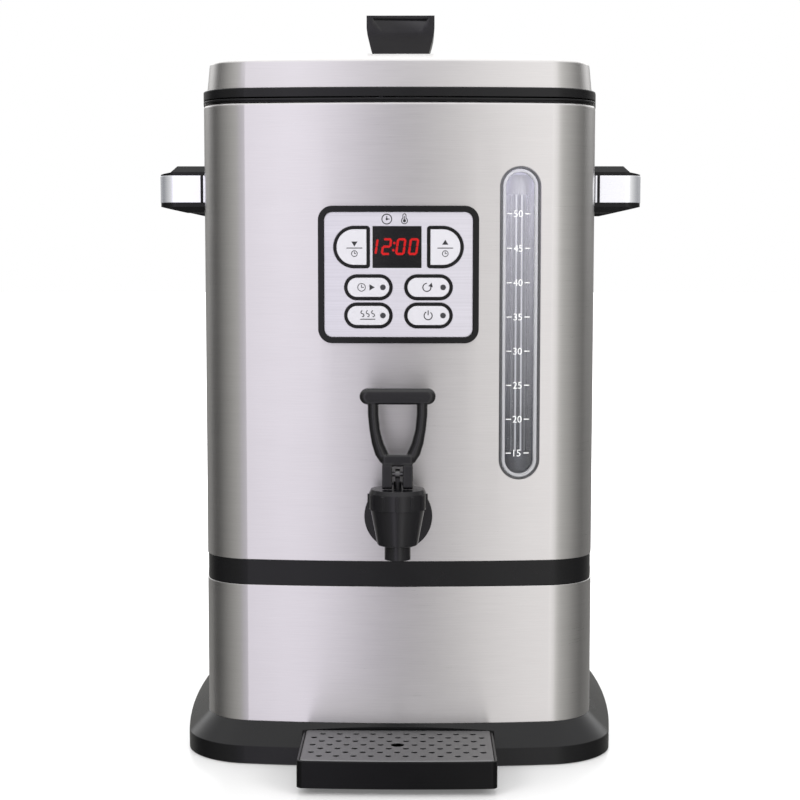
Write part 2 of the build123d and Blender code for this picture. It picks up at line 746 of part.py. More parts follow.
for side, name in ((-1, "handle_left"), (1, "handle_right")):
    # black moulded handle: two deep arms and a lower grip, rebated for the trim
    with BuildPart() as handle:
        with BuildSketch(level(handle_z - 20)):
            add(handle_loop(0, 12, side))
            inner_w = handle_reach - handle_bar + 20
            with Locations((side * (body_w / 2 - 20 + inner_w / 2), 0)):
                RectangleRounded(inner_w, handle_d - 2 * handle_arm, 6, mode=Mode.SUBTRACT)
        extrude(amount=40)
        with BuildSketch(facing(handle_d)):
            with BuildLine():
                reach = side * (body_w / 2 + handle_reach)
                root = side * (body_w / 2 - 12)
                Line((root, handle_z - 15.3), (side * (body_w / 2 + 12), handle_z - 15.3))
                Line((side * (body_w / 2 + 12), handle_z - 15.3), (side * (body_w / 2 + 21.5), handle_z - 13.2))
                Line((side * (body_w / 2 + 21.5), handle_z - 13.2), (reach, handle_z - 11.2))
                Line((reach, handle_z - 11.2), (reach, handle_z + 10.0))
                Line((reach, handle_z + 10.0), (side * (body_w / 2 + 22.0), handle_z + 11.3))
                Line((side * (body_w / 2 + 22.0), handle_z + 11.3), (side * (body_w / 2 + 18.0), handle_z + 15.5))
                Line((side * (body_w / 2 + 18.0), handle_z + 15.5), (root, handle_z + 15.5))
                Line((root, handle_z + 15.5), (root, handle_z - 15.3))
            make_face()
        extrude(amount=2 * handle_d, mode=Mode.INTERSECT)
        with BuildSketch(flank(-body_w)) as handle_end:
            with Locations((0, handle_z + 0.1)):
                Rectangle(handle_d, 30.8)
            chamfer(handle_end.vertices(), handle_bevel)
        extrude(amount=2 * body_w, mode=Mode.INTERSECT)
        with BuildSketch(level(trim_z - trim_h / 2)):
            add(handle_loop(5, 12, side))
            add(handle_loop(trim_proud - trim_t, 12, side), mode=Mode.SUBTRACT)
        extrude(amount=trim_h, mode=Mode.SUBTRACT)
        add(housing_block, mode=Mode.SUBTRACT)
        with BuildSketch(flank(0)):
            for end in (-1, 1):
                for rise in (-1, 1):
                    with Locations((end * handle_screw_y, handle_z + rise * handle_screw_dz)):
                        Circle(handle_screw_r)
        extrude(amount=side * (body_w / 2 + 15), mode=Mode.SUBTRACT)
    handle.part.label = name
    export_step(handle.part, "parts/" + name + ".step")

    # brushed metal strip let into the outside of the handle
    with BuildPart() as trim:
        with BuildSketch(level(trim_z - trim_h / 2)):
            add(handle_loop(trim_proud, 12, side))
            add(handle_loop(trim_proud - trim_t, 12, side), mode=Mode.SUBTRACT)
        extrude(amount=trim_h)
        add(block(-trim_end, handle_z - 20, handle_z + 20), mode=Mode.SUBTRACT)
    trim.part.label = name.replace("handle", "trim")
    export_step(trim.part, "parts/" + name.replace("handle", "trim") + ".step")

# eight screws through the shell into the handle arms
with BuildPart() as handle_screws:
    for side in (-1, 1):
        with BuildSketch(flank(side * (body_w / 2 - sheet - 4.6))):
            for end in (-1, 1):
                for rise in (-1, 1):
                    with Locations((end * handle_screw_y, handle_z + rise * handle_screw_dz)):
                        Circle(2 * handle_screw_r)
        extrude(amount=side * 2.6)
        with BuildSketch(flank(side * (body_w / 2 - sheet - 2.0))):
            for end in (-1, 1):
                for rise in (-1, 1):
                    with Locations((end * handle_screw_y, handle_z + rise * handle_screw_dz)):
                        Circle(handle_screw_r)
        extrude(amount=side * 15)
handle_screws.part.label = "handle_screws"
export_step(handle_screws.part, "parts/handle_screws.step")

# ================================================================ control panel
plate_border = 0.1
plate_front = 1.0       # silver plate stands out this far past the steel
plate_back = 0.2        # back of the plate, inside the steel's face
web_depth = 1.9         # back of the bezel's web, inside the steel's face
collar_proud = 1.4
collar_w = 1.8          # black ring round each button
cap_proud = 1.7
cap_gap = 0.15
cap_travel = 0.6
flange_gap = 0.2
flange_t = 1.0
board_y = front_y + 11.0
board_t = 1.6
switch_h = 2.2
post_r = 3.0            # posts of the bezel, staked through the board
stake_r = 1.5
flange_front = web_depth + flange_gap
display_x = -0.9
display_z = 324.8
display_w = 30.2
display_h = 25.8
d_button_x = 29.0
d_button_w = 22.4
d_button_h = 25.8
d_button_r = 12.9
oval_x = 18.6
oval_w = 29.8
oval_h = 15.7
oval_z = (300.0, 282.6)
lens_dx = 9.0
lens_r = 1.7
inner_w = panel_w - 2 * panel_frame
inner_h = panel_h - 2 * panel_frame
low_p = panel_z - panel_h
high_p = panel_z + panel_h

bezel_front = skin(-panel_proud, 0, low_p, high_p)
bezel_rear = block(0, low_p, high_p)
plate_skin = skin(-plate_front, plate_back, low_p, high_p)
web_skin = skin(plate_back, web_depth, low_p, high_p)
collar_skin = skin(-collar_proud, web_depth, low_p, high_p)
cap_skin = skin(-cap_proud, flange_front + flange_t, low_p, high_p)
flange_skin = skin(flange_front, flange_front + flange_t, low_p, high_p)
window_skin = skin(-0.8, web_depth, low_p, high_p)
lens_skin = skin(-cap_proud - 0.05, 1.0, low_p, high_p)


def d_outline(side, inset):
    """Button outline with a straight inner edge and a round outer end."""
    width = d_button_w - 2 * inset
    height = d_button_h - 2 * inset
    with BuildSketch(Plane.XY, mode=Mode.PRIVATE) as outline:
        Rectangle(width, height)
        outer = [v for v in outline.vertices() if v.X * side > 0]
        fillet(outer, height / 2 - 0.05)
        inner = [v for v in outline.vertices() if v.X * side < -width / 4]
        fillet(inner, max(0.4, 1.8 - inset))
    return Pos(side * d_button_x, display_z) * outline.sketch_local


def oval_outline(x, z, inset):
    """Obround button outline."""
    with BuildSketch(Plane.XY, mode=Mode.PRIVATE) as outline:
        SlotOverall(oval_w - 2 * inset, oval_h - 2 * inset)
    return Pos(x, z) * outline.sketch_local


def button_outlines(inset):
    """All six outlines together."""
    shapes = d_outline(-1, inset) + d_outline(1, inset)
    for z in oval_z:
        shapes = shapes + oval_outline(-oval_x, z, inset) + oval_outline(oval_x, z, inset)
    return shapes


all_outer = button_outlines(0)
all_hole = button_outlines(collar_w)
all_plate = button_outlines(-0.1)
post_x = inner_w / 2 - 4.0
post_z = inner_h / 2 - 4.0

# black ring walls behind the frame, cut to the bow of the shell
with BuildPart() as bezel_box:
    with BuildSketch(facing(board_y + board_t)):
        with Locations((0, panel_z)):
            RectangleRounded(panel_w - 4 - 2 * snug, panel_h - 4 - 2 * snug, panel_r - 2)
            RectangleRounded(inner_w, inner_h, panel_r - panel_frame, mode=Mode.SUBTRACT)
    extrude(amount=board_y + board_t - front_y)
    add(bezel_rear, mode=Mode.INTERSECT)

# web behind the plate, with a hole for each cap and for the display window
with BuildPart() as bezel_web:
    with BuildSketch(facing(0)):
        with Locations((0, panel_z)):
            RectangleRounded(inner_w + 0.2, inner_h + 0.2, panel_r - panel_frame)
        add(all_hole, mode=Mode.SUBTRACT)
        with Locations((display_x, display_z)):
            Rectangle(display_w, display_h, mode=Mode.SUBTRACT)
    extrude(amount=body_d)
    add(web_skin, mode=Mode.INTERSECT)

# black ring collar round each button
with BuildPart() as bezel_collars:
    with BuildSketch(facing(0)):
        add(all_outer)
        add(all_hole, mode=Mode.SUBTRACT)
    extrude(amount=body_d)
    add(collar_skin, mode=Mode.INTERSECT)

# moulded panel bezel: bowed frame, box walls, web, collars and posts for the board
with BuildPart() as panel_bezel:
    with BuildSketch(facing(0)):
        with Locations((0, panel_z)):
            RectangleRounded(panel_w, panel_h, panel_r)
            RectangleRounded(inner_w, inner_h, panel_r - panel_frame, mode=Mode.SUBTRACT)
    extrude(amount=body_d)
    add(bezel_front, mode=Mode.INTERSECT)
    add(bezel_box.part)
    add(bezel_web.part)
    add(bezel_collars.part)
    with BuildSketch(facing(board_y)):
        with Locations((-post_x, panel_z - post_z), (post_x, panel_z - post_z)):
            Circle(post_r)
        with Locations((-post_x, panel_z + post_z), (post_x, panel_z + post_z)):
            Circle(post_r)
    extrude(amount=board_y - front_y - web_depth - bow_drop(post_x) + 0.2)
    with BuildSketch(facing(board_y + board_t + 0.8)):
        with Locations((-post_x, panel_z - post_z), (post_x, panel_z - post_z)):
            Circle(stake_r)
        with Locations((-post_x, panel_z + post_z), (post_x, panel_z + post_z)):
            Circle(stake_r)
    extrude(amount=board_t + 2)
panel_bezel.part.label = "panel_bezel"
export_step(panel_bezel.part, "parts/panel_bezel.step")

# silver front plate, pierced for the collars and the display
with BuildPart() as panel_plate:
    with BuildSketch(facing(0)):
        with Locations((0, panel_z)):
            RectangleRounded(inner_w - 2 * plate_border, inner_h - 2 * plate_border, panel_r - panel_frame)
        add(all_plate, mode=Mode.SUBTRACT)
        with Locations((display_x, display_z)):
            Rectangle(display_w, display_h, mode=Mode.SUBTRACT)
    extrude(amount=body_d)
    add(plate_skin, mode=Mode.INTERSECT)
panel_plate.part.label = "panel_plate"
export_step(panel_plate.part, "parts/panel_plate.step")

# smoked window of the display
with BuildPart() as display_window:
    with BuildSketch(facing(0)):
        with Locations((display_x, display_z)):
            Rectangle(display_w - 2 * snug, display_h - 2 * snug)
    extrude(amount=body_d)
    add(window_skin, mode=Mode.INTERSECT)
display_window.part.label = "display_window"
export_step(display_window.part, "parts/display_window.step")

# display block on the board, behind its window
with BuildPart() as display_module:
    with BuildSketch(facing(board_y)):
        with Locations((display_x, display_z)):
            Rectangle(display_w - 1, display_h - 3)
    extrude(amount=board_y - front_y - web_depth - bow_drop(display_w / 2) - 0.3)
display_module.part.label = "display_module"
export_step(display_module.part, "parts/display_module.step")

# button places: name, x, height
button_places = (
    ("button_down", -d_button_x - 2.0, display_z),
    ("button_up", d_button_x + 2.0, display_z),
    ("button_clock", -oval_x, oval_z[0]),
    ("button_reheat", oval_x, oval_z[0]),
    ("button_warm", -oval_x, oval_z[1]),
    ("button_power", oval_x, oval_z[1]),
)

# control board with a push switch behind each button
with BuildPart() as control_board:
    with BuildSketch(facing(board_y + board_t)):
        with Locations((0, panel_z)):
            RectangleRounded(inner_w - 2 * snug, inner_h - 2 * snug, panel_r - panel_frame)
        with Locations((-post_x, panel_z - post_z), (post_x, panel_z - post_z)):
            Circle(stake_r, mode=Mode.SUBTRACT)
        with Locations((-post_x, panel_z + post_z), (post_x, panel_z + post_z)):
            Circle(stake_r, mode=Mode.SUBTRACT)
    extrude(amount=board_t)
    with BuildSketch(facing(board_y)):
        for name, x, z in button_places:
            with Locations((x, z)):
                Rectangle(6, 6)
    extrude(amount=switch_h)
control_board.part.label = "control_board"
export_step(control_board.part, "parts/control_board.step")

# six button caps, each with a flange behind the web and a plunger to its switch
for name, x, z in button_places:
    side = -1 if x < 0 else 1
    is_oval = z < display_z
    cap_face = oval_outline(x, z, collar_w + cap_gap) if is_oval else d_outline(side, collar_w + cap_gap)
    rim_face = oval_outline(x, z, collar_w - 1.0) if is_oval else d_outline(side, collar_w - 1.0)
    lens_x = x + lens_dx

    # flange that keeps the cap behind the web
    with BuildPart() as cap_flange:
        with BuildSketch(facing(0)):
            add(rim_face)
        extrude(amount=body_d)
        add(flange_skin, mode=Mode.INTERSECT)

    # cap, cut to the bow of the panel
    with BuildPart() as button:
        with BuildSketch(facing(0)):
            add(cap_face)
        extrude(amount=body_d)
        add(cap_skin, mode=Mode.INTERSECT)
        add(cap_flange.part)
        with BuildSketch(facing(board_y - switch_h - cap_travel - 0.4)):
            with Locations((x, z)):
                Circle(2.0)
        extrude(amount=board_y - switch_h - cap_travel - 0.4 - front_y - flange_front - bow_drop(x) - 0.5)
        if is_oval:
            with BuildSketch(facing(front_y)):
                with Locations((lens_x, z)):
                    Circle(lens_r)
            extrude(amount=10, mode=Mode.SUBTRACT)
    button.part.label = name
    export_step(button.part, "parts/" + name + ".step")

    # indicator lens let into the cap
    if is_oval:
        with BuildPart() as lens:
            with BuildSketch(facing(front_y)):
                with Locations((lens_x, z)):
                    Circle(lens_r)
            extrude(amount=10)
            add(lens_skin, mode=Mode.INTERSECT)
        lens.part.label = name.replace("button", "lens")
        export_step(lens.part, "parts/" + name.replace("button", "lens") + ".step")

# ================================================================ sight gauge
cover_proud = 0.5
cover_rim = 3.6         # clear rim round the window
cover_depth = 5.4
window_sink = 3.0
window_t = 1.6
channel_floor_y = gauge_y + gauge_depth
tube_y = gauge_y + 15.0
low_g = gauge_z - gauge_l
high_g = gauge_z + gauge_l
cover_skin = skin(-cover_proud, cover_depth, low_g, high_g)
sink_skin = skin(-2, window_sink, low_g, high_g)
back_skin = skin(window_sink + window_t, cover_depth + 2, low_g, high_g)
channel_block = block(sheet, low_g, high_g)

# hollows in front of the gauge's window and behind it
with BuildPart() as cover_room:
    with BuildSketch(facing(0)):
        with Locations((gauge_x, gauge_z)):
            SlotOverall(gauge_l - 2 * cover_rim, gauge_w - 2 * cover_rim, rotation=90)
    extrude(amount=body_d)
    add(sink_skin + back_skin, mode=Mode.INTERSECT)

# clear cover: raised rim and a sunk window that carries the scale
with BuildPart() as gauge_cover:
    with BuildSketch(facing(0)):
        with Locations((gauge_x, gauge_z)):
            SlotOverall(gauge_l - 2 * snug, gauge_w - 2 * snug, rotation=90)
    extrude(amount=body_d)
    add(cover_skin, mode=Mode.INTERSECT)
    add(cover_room.part, mode=Mode.SUBTRACT)
gauge_cover.part.label = "gauge_cover"
export_step(gauge_cover.part, "parts/gauge_cover.step")

# channel behind the cover
with BuildPart() as gauge_channel:
    with BuildSketch(facing(channel_floor_y + gauge_wall)):
        with Locations((gauge_x, gauge_z)):
            SlotOverall(gauge_l + 2 * gauge_wall + 2, gauge_w + 2 * gauge_wall + 2, rotation=90)
    extrude(amount=body_d / 2)
    add(channel_block, mode=Mode.INTERSECT)
    with BuildSketch(facing(channel_floor_y)):
        with Locations((gauge_x, gauge_z)):
            SlotOverall(gauge_l, gauge_w, rotation=90)
    extrude(amount=body_d / 2, mode=Mode.SUBTRACT)
    with BuildSketch(facing(0)):
        with Locations((gauge_x, gauge_z - gauge_port_z), (gauge_x, gauge_z + gauge_port_z)):
            Circle(gauge_port_r + snug)
    extrude(amount=body_d, mode=Mode.SUBTRACT)
gauge_channel.part.label = "gauge_channel"
export_step(gauge_channel.part, "parts/gauge_channel.step")

# glass tube of the gauge
port_socket_r = 7.0
port_socket_h = 6.0
with BuildPart() as gauge_tube:
    with BuildSketch(Plane(origin=(gauge_x, axis_y + tube_y, gauge_z - gauge_port_z + 3.0))):
        Circle(gauge_tube_r)
        Circle(gauge_tube_r - 1.2, mode=Mode.SUBTRACT)
    extrude(amount=2 * gauge_port_z - 6)
gauge_tube.part.label = "gauge_tube"
export_step(gauge_tube.part, "parts/gauge_tube.step")

# two elbows that join the tube to the tank, each bored from the tube's seat through to the tank
port_end_y = 5.0 - (tank_r ** 2 - (gauge_x + gauge_port_r) ** 2) ** 0.5
port_bore_r = 3.0
tube_seat = 3.0         # the tube's end lies this far from the port's middle
with BuildPart() as gauge_ports:
    for end in (-1, 1):
        port_z = gauge_z + end * gauge_port_z
        with BuildSketch(facing(port_end_y)):
            with Locations((gauge_x, port_z)):
                Circle(gauge_port_r)
        extrude(amount=port_end_y - tube_y)
        with BuildSketch(Plane(origin=(gauge_x, axis_y + tube_y, port_z - port_socket_h))):
            Circle(port_socket_r)
        extrude(amount=2 * port_socket_h)
        with BuildSketch(Plane(origin=(gauge_x, axis_y + tube_y, port_z - end * tube_seat))):
            Circle(gauge_tube_r)
        extrude(amount=-end * port_socket_h, mode=Mode.SUBTRACT)
        with BuildSketch(facing(port_end_y)):
            with Locations((gauge_x, port_z)):
                Circle(port_bore_r)
        extrude(amount=port_end_y - tube_y + port_bore_r, mode=Mode.SUBTRACT)
        with BuildSketch(Plane(origin=(gauge_x, axis_y + tube_y, port_z - end * tube_seat))):
            Circle(port_bore_r - 0.4)
        extrude(amount=end * tube_seat, mode=Mode.SUBTRACT)
gauge_ports.part.label = "gauge_ports"
export_step(gauge_ports.part, "parts/gauge_ports.step")

# ================================================================ tap
tap_y = front_y - tap_reach
nozzle_low = 136.3
nozzle_r = 7.9
tap_low = 145.0
tap_low_r = 12.2
tap_high = 167.2
tap_high_r = 16.4
chamber_r = 7.0
seat_z = 150.0
outlet_r = 5.0
bonnet_r = 17.3
bonnet_top = 179.3
bonnet_t = 3.8
bonnet_neck_r = 13.6
neck_top = bonnet_top - bonnet_t
stem_r = 2.5
pin_r = 1.5
pin_z = 188.2
pin_fit = 0.05
heel_gap = 0.2          # lever heel above the bonnet
heel_offset = 4.0       # the round heel lies this far in front of the pin
heel_r = pin_z - bonnet_top - heel_gap
yoke_w = 18.4
yoke_slot = 6.3
eye_t = 2.8
nut_y = 9.5 - tank_r      # the nut clamps the tank's wall from inside
nut_t = 6.0
seal_t = 3.2
shoulder_end_y = -tank_r - sheet - seal_t


def tap_level(z):
    """Horizontal plane on the tap's upright axis."""
    return Plane(origin=(0, axis_y + tap_y, z))


def drum(radius, low, high):
    """Solid cylinder about the housing's centre line, for cutting seals to the tank."""
    return Pos(0, axis_y, (low + high) / 2) * Cylinder(radius, high - low)


tank_drum = drum(tank_r + sheet, tap_z - 30, gauge_z + 120)
room_drum = drum(tank_r, tap_z - 30, gauge_z + 120)

# black tap body: tapered barrel, nozzle, neck and the shank into the tank
with BuildPart() as tap_body:
    with BuildSketch(tap_level(tap_low)):
        Circle(tap_low_r)
    with BuildSketch(tap_level(tap_high)):
        Circle(tap_high_r)
    loft(ruled=True)
    fillet(tap_body.edges().sort_by(Axis.Z)[0], 1.5)
    with BuildSketch(tap_level(nozzle_low)):
        Circle(nozzle_r)
    extrude(amount=tap_low - nozzle_low + 1)
    with BuildSketch(tap_level(tap_high)):
        Circle(bonnet_neck_r)
    extrude(amount=neck_top - tap_high)
    with BuildSketch(facing(nut_y)):
        with Locations((0, tap_z)):
            Circle(shank_r)
    extrude(amount=nut_y - tap_y)
    with BuildSketch(facing(shoulder_end_y)):
        with Locations((0, tap_z)):
            Circle(shoulder_r)
    extrude(amount=shoulder_end_y - tap_y)
    with BuildSketch(tap_level(seat_z)):
        Circle(chamber_r)
    extrude(amount=neck_top - seat_z, mode=Mode.SUBTRACT)
    with BuildSketch(tap_level(nozzle_low)):
        Circle(outlet_r)
    extrude(amount=seat_z - nozzle_low, mode=Mode.SUBTRACT)
    with BuildSketch(facing(nut_y)):
        with Locations((0, tap_z)):
            Circle(shank_r - 3.0)
    extrude(amount=nut_y - tap_y, mode=Mode.SUBTRACT)
tap_body.part.label = "tap_body"
export_step(tap_body.part, "parts/tap_body.step")

# round escutcheon against the housing
escutcheon_r = 21.2
escutcheon_t = 3.6
escutcheon_skin = skin(-escutcheon_t, 0, tap_z - 30, tap_z + 30)
with BuildPart() as escutcheon:
    with BuildSketch(facing(0)):
        with Locations((0, tap_z)):
            Circle(escutcheon_r)
            Circle(shoulder_r + snug, mode=Mode.SUBTRACT)
    extrude(amount=body_d)
    add(escutcheon_skin, mode=Mode.INTERSECT)
escutcheon.part.label = "escutcheon"
export_step(escutcheon.part, "parts/escutcheon.step")

# hexagon nut inside the tank
with BuildPart() as tap_nut:
    with BuildSketch(facing(nut_y)):
        with Locations((0, tap_z)):
            RegularPolygon(13.5, 6)
            Circle(shank_r, mode=Mode.SUBTRACT)
    extrude(amount=nut_t)
tap_nut.part.label = "tap_nut"
export_step(tap_nut.part, "parts/tap_nut.step")

# silicone seals: one each side of the tank wall at the tap, one at each gauge port
with BuildPart() as outer_seals:
    with BuildSketch(facing(shoulder_end_y + seal_t + 2)):
        with Locations((0, tap_z)):
            Circle(shoulder_r + 1.5)
            Circle(shank_r, mode=Mode.SUBTRACT)
    extrude(amount=seal_t + 2)
    with BuildSketch(facing(port_end_y)):
        with Locations((gauge_x, gauge_z - gauge_port_z), (gauge_x, gauge_z + gauge_port_z)):
            Circle(gauge_port_r + 3)
            Circle(gauge_port_r, mode=Mode.SUBTRACT)
    extrude(amount=port_end_y + (tank_r ** 2 - gauge_x ** 2) ** 0.5 + 14)
    add(tank_drum, mode=Mode.SUBTRACT)
with BuildPart() as tank_seals:
    with BuildSketch(facing(nut_y - nut_t)):
        with Locations((0, tap_z)):
            Circle(shank_r + 5)
            Circle(shank_r, mode=Mode.SUBTRACT)
    extrude(amount=seal_t + 2)
    add(room_drum, mode=Mode.INTERSECT)
    add(outer_seals.part)
tank_seals.part.label = "tank_seals"
export_step(tank_seals.part, "parts/tank_seals.step")

# screw-on bonnet with short grip ribs
rib_w = 1.8
rib_h = 9.0
bonnet_slope = 2.6
with BuildPart() as tap_bonnet:
    with BuildSketch(tap_level(tap_high + snug)):
        Circle(bonnet_r)
        with PolarLocations(bonnet_r, 12):
            Rectangle(rib_w, rib_w)
    extrude(amount=rib_h)
    with BuildSketch(tap_level(tap_high + snug)):
        Circle(bonnet_r)
    extrude(amount=bonnet_top - bonnet_slope - tap_high - snug)
    with BuildSketch(tap_level(bonnet_top - bonnet_slope)):
        Circle(bonnet_r)
    with BuildSketch(tap_level(bonnet_top)):
        Circle(bonnet_r - 1.1)
    loft(ruled=True)
    with BuildSketch(tap_level(tap_high)):
        Circle(bonnet_neck_r)
    extrude(amount=neck_top - tap_high, mode=Mode.SUBTRACT)
    with BuildSketch(tap_level(neck_top)):
        Circle(stem_r + 0.08)
    extrude(amount=bonnet_t + 1, mode=Mode.SUBTRACT)
tap_bonnet.part.label = "tap_bonnet"
export_step(tap_bonnet.part, "parts/tap_bonnet.step")

# silicone cup that closes the seat
cup_r = 6.2
cup_top = 158.6
stem_low = 152.5
with BuildPart() as tap_cup:
    with BuildSketch(tap_level(seat_z + 0.05)):
        Circle(cup_r)
    extrude(amount=cup_top - seat_z)
    with BuildSketch(tap_level(stem_low)):
        Circle(stem_r)
    extrude(amount=cup_top, mode=Mode.SUBTRACT)
    fillet(tap_cup.edges().sort_by(Axis.Z)[0], 1.5)
tap_cup.part.label = "tap_cup"
export_step(tap_cup.part, "parts/tap_cup.step")

# stem with a spring flange below and a flat eye for the lever's pin above
stem_flange_z = cup_top + 0.1
stem_flange_t = 1.2
with BuildPart() as tap_stem:
    with BuildSketch(tap_level(stem_low)):
        Circle(stem_r)
    extrude(amount=pin_z - 4.5 - stem_low)
    with BuildSketch(tap_level(stem_flange_z)):
        Circle(5.6)
    extrude(amount=stem_flange_t)
    with BuildSketch(flank(-eye_t / 2)):
        with Locations((tap_y, pin_z)):
            Circle(3.2)
        with Locations((tap_y, pin_z - 3)):
            Rectangle(2 * stem_r - 0.6, 6)
        with Locations((tap_y, pin_z)):
            Circle(pin_r + pin_fit, mode=Mode.SUBTRACT)
    extrude(amount=eye_t)
tap_stem.part.label = "tap_stem"
export_step(tap_stem.part, "parts/tap_stem.step")

# closing spring between the stem's flange and the bonnet
spring_low = stem_flange_z + stem_flange_t + 0.05
spring_high = neck_top - 0.05
wire_r = 0.45
coil_r = 4.3
with BuildPart() as tap_spring:
    with BuildLine() as coil:
        Helix(
            pitch=(spring_high - spring_low - 2 * wire_r) / 6,
            height=spring_high - spring_low - 2 * wire_r,
            radius=coil_r,
            center=(0, axis_y + tap_y, spring_low + wire_r),
        )
    with BuildSketch(Plane(origin=coil.line @ 0, z_dir=coil.line % 0)):
        Circle(wire_r)
    sweep(is_frenet=True)
tap_spring.part.label = "tap_spring"
export_step(tap_spring.part, "parts/tap_spring.step")

# steel hinge pin pressed into the lever's cheeks
with BuildPart() as tap_pin:
    with BuildSketch(flank(-yoke_w / 2 + 0.6)):
        with Locations((tap_y, pin_z)):
            Circle(pin_r)
    extrude(amount=yoke_w - 1.2)
tap_pin.part.label = "tap_pin"
export_step(tap_pin.part, "parts/tap_pin.step")

# black lever: round-heeled yoke, tapered loop and a cross bar to pull
bar_r = 4.8
bar_half = 22.7
bar_z = 235.3
loop_t = 7.6
loop_low = 193.0
loop_outer = ((9.2, 192.5), (10.6, 195), (12.6, 200), (14.6, 206.5), (16.3, 215), (17.3, 224), (17.7, 234))
loop_inner = ((0, 199.3), (4.2, 200.6), (7.4, 205.5), (9.6, 212.5), (10.9, 221), (11.3, 230.2), (0, 230.2))
with BuildPart() as tap_lever:
    with BuildSketch(flank(-yoke_w / 2)):
        with Locations((tap_y - heel_offset, pin_z)):
            Circle(heel_r)
        with Locations((tap_y - 1.8, pin_z)):
            Rectangle(13.4, 4 * heel_r, mode=Mode.INTERSECT)
        with Locations((tap_y - 1.8, pin_z + 3)):
            Rectangle(13.4, 6)
    extrude(amount=yoke_w)
    with BuildSketch(facing(tap_y + loop_t / 2)):
        with BuildLine():
            Spline(*loop_outer)
            Line(loop_outer[-1], (-loop_outer[-1][0], loop_outer[-1][1]))
            Spline(*[(-x, z) for x, z in reversed(loop_outer)])
            Line((-loop_outer[0][0], loop_outer[0][1]), loop_outer[0])
        make_face()
    extrude(amount=loop_t)
    with BuildSketch(facing(tap_y + loop_t)):
        with BuildLine():
            Spline(*loop_inner[:-1])
            Line(loop_inner[-2], (-loop_inner[-2][0], loop_inner[-2][1]))
            Spline(*[(-x, z) for x, z in reversed(loop_inner[:-1])])
        make_face()
    extrude(amount=2 * loop_t, mode=Mode.SUBTRACT)
    with BuildSketch(flank(-bar_half)):
        with Locations((tap_y, bar_z)):
            Circle(bar_r)
    extrude(amount=2 * bar_half)
    bar_ends = tap_lever.edges().filter_by(GeomType.CIRCLE).group_by(Axis.X)
    fillet([bar_ends[0][0], bar_ends[-1][0]], bar_r - 0.6)
    with BuildSketch(facing(tap_y + 20)):
        with Locations((0, pin_z - 5)):
            Rectangle(yoke_slot, 19.6)
    extrude(amount=40, mode=Mode.SUBTRACT)
    with BuildSketch(flank(-yoke_w / 2 + 0.6)):
        with Locations((tap_y, pin_z)):
            Circle(pin_r)
    extrude(amount=yoke_w - 1.2, mode=Mode.SUBTRACT)
tap_lever.part.label = "tap_lever"
export_step(tap_lever.part, "parts/tap_lever.step")

# ================================================================ drip tray
tray_rear_y = notch_y - notch_gap
tray_front_y = front_y - base_overhang - tray_reach
tray_floor = 2.0
ledge_w = 2.0           # ledge that carries the grid
grid_top = tray_low + tray_h + 0.4
grid_skirt = 4.0
ledge_z = grid_top - grid_skirt
hole_r = 1.9
hole_pitch_x = 10.4
hole_pitch_y = 7.8
drain_r = 4.1


def tray_outline(inset):
    """Tray plan with a gently bowed front, moved inwards by inset."""
    with BuildSketch(Plane.XY, mode=Mode.PRIVATE) as outline:
        with Locations((0, (tray_rear_y + tray_front_y) / 2)):
            Rectangle(tray_w - 2 * inset, tray_rear_y - tray_front_y - 2 * inset)
        with Locations((0, tray_front_y + tray_bow_r)):
            Circle(tray_bow_r - inset, mode=Mode.INTERSECT)
        fillet(outline.vertices(), max(0.8, 4.0 - inset))
    return outline.sketch_local


# black pan with a ledge for the grid and a tongue that slides under the base
with BuildPart() as tray_pan:
    with BuildSketch(level(tray_low)):
        add(tray_outline(0))
    extrude(amount=tray_h)
    fillet(tray_pan.faces().sort_by(Axis.Z)[-1].edges(), 0.7)
    with BuildSketch(level(ledge_z)):
        add(tray_outline(tray_wall))
    extrude(amount=tray_h, mode=Mode.SUBTRACT)
    with BuildSketch(level(tray_low + tray_floor)):
        add(tray_outline(tray_wall + ledge_w))
    extrude(amount=tray_h, mode=Mode.SUBTRACT)
    with BuildSketch(level(tongue_z)):
        with Locations((0, tray_rear_y + tongue_l / 2 - 1)):
            Rectangle(tongue_w, tongue_l + 2)
    extrude(amount=tongue_t)
tray_pan.part.label = "tray_pan"
export_step(tray_pan.part, "parts/tray_pan.step")

# pressed steel grid: staggered rows of small holes round one larger drain hole
with BuildPart() as tray_grid:
    with BuildSketch(level(ledge_z)):
        add(tray_outline(tray_wall + fit))
    extrude(amount=grid_skirt)
    fillet(tray_grid.faces().sort_by(Axis.Z)[-1].edges(), 0.9)
    with BuildSketch(level(ledge_z)):
        add(tray_outline(tray_wall + fit + sheet))
    extrude(amount=grid_skirt - sheet, mode=Mode.SUBTRACT)
    with BuildSketch(level(ledge_z)):
        for row in range(-3, 4):
            count = 10 if row % 2 else 11
            for i in range(count):
                x = (i - (count - 1) / 2) * hole_pitch_x
                if row or x:
                    with Locations((x, tap_y + row * hole_pitch_y)):
                        Circle(hole_r)
        with Locations((0, tap_y)):
            Circle(drain_r)
    extrude(amount=grid_skirt + 1, mode=Mode.SUBTRACT)
tray_grid.part.label = "tray_grid"
export_step(tray_grid.part, "parts/tray_grid.step")
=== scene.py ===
import math

import bmesh
import bpy
from mathutils import Matrix, Vector


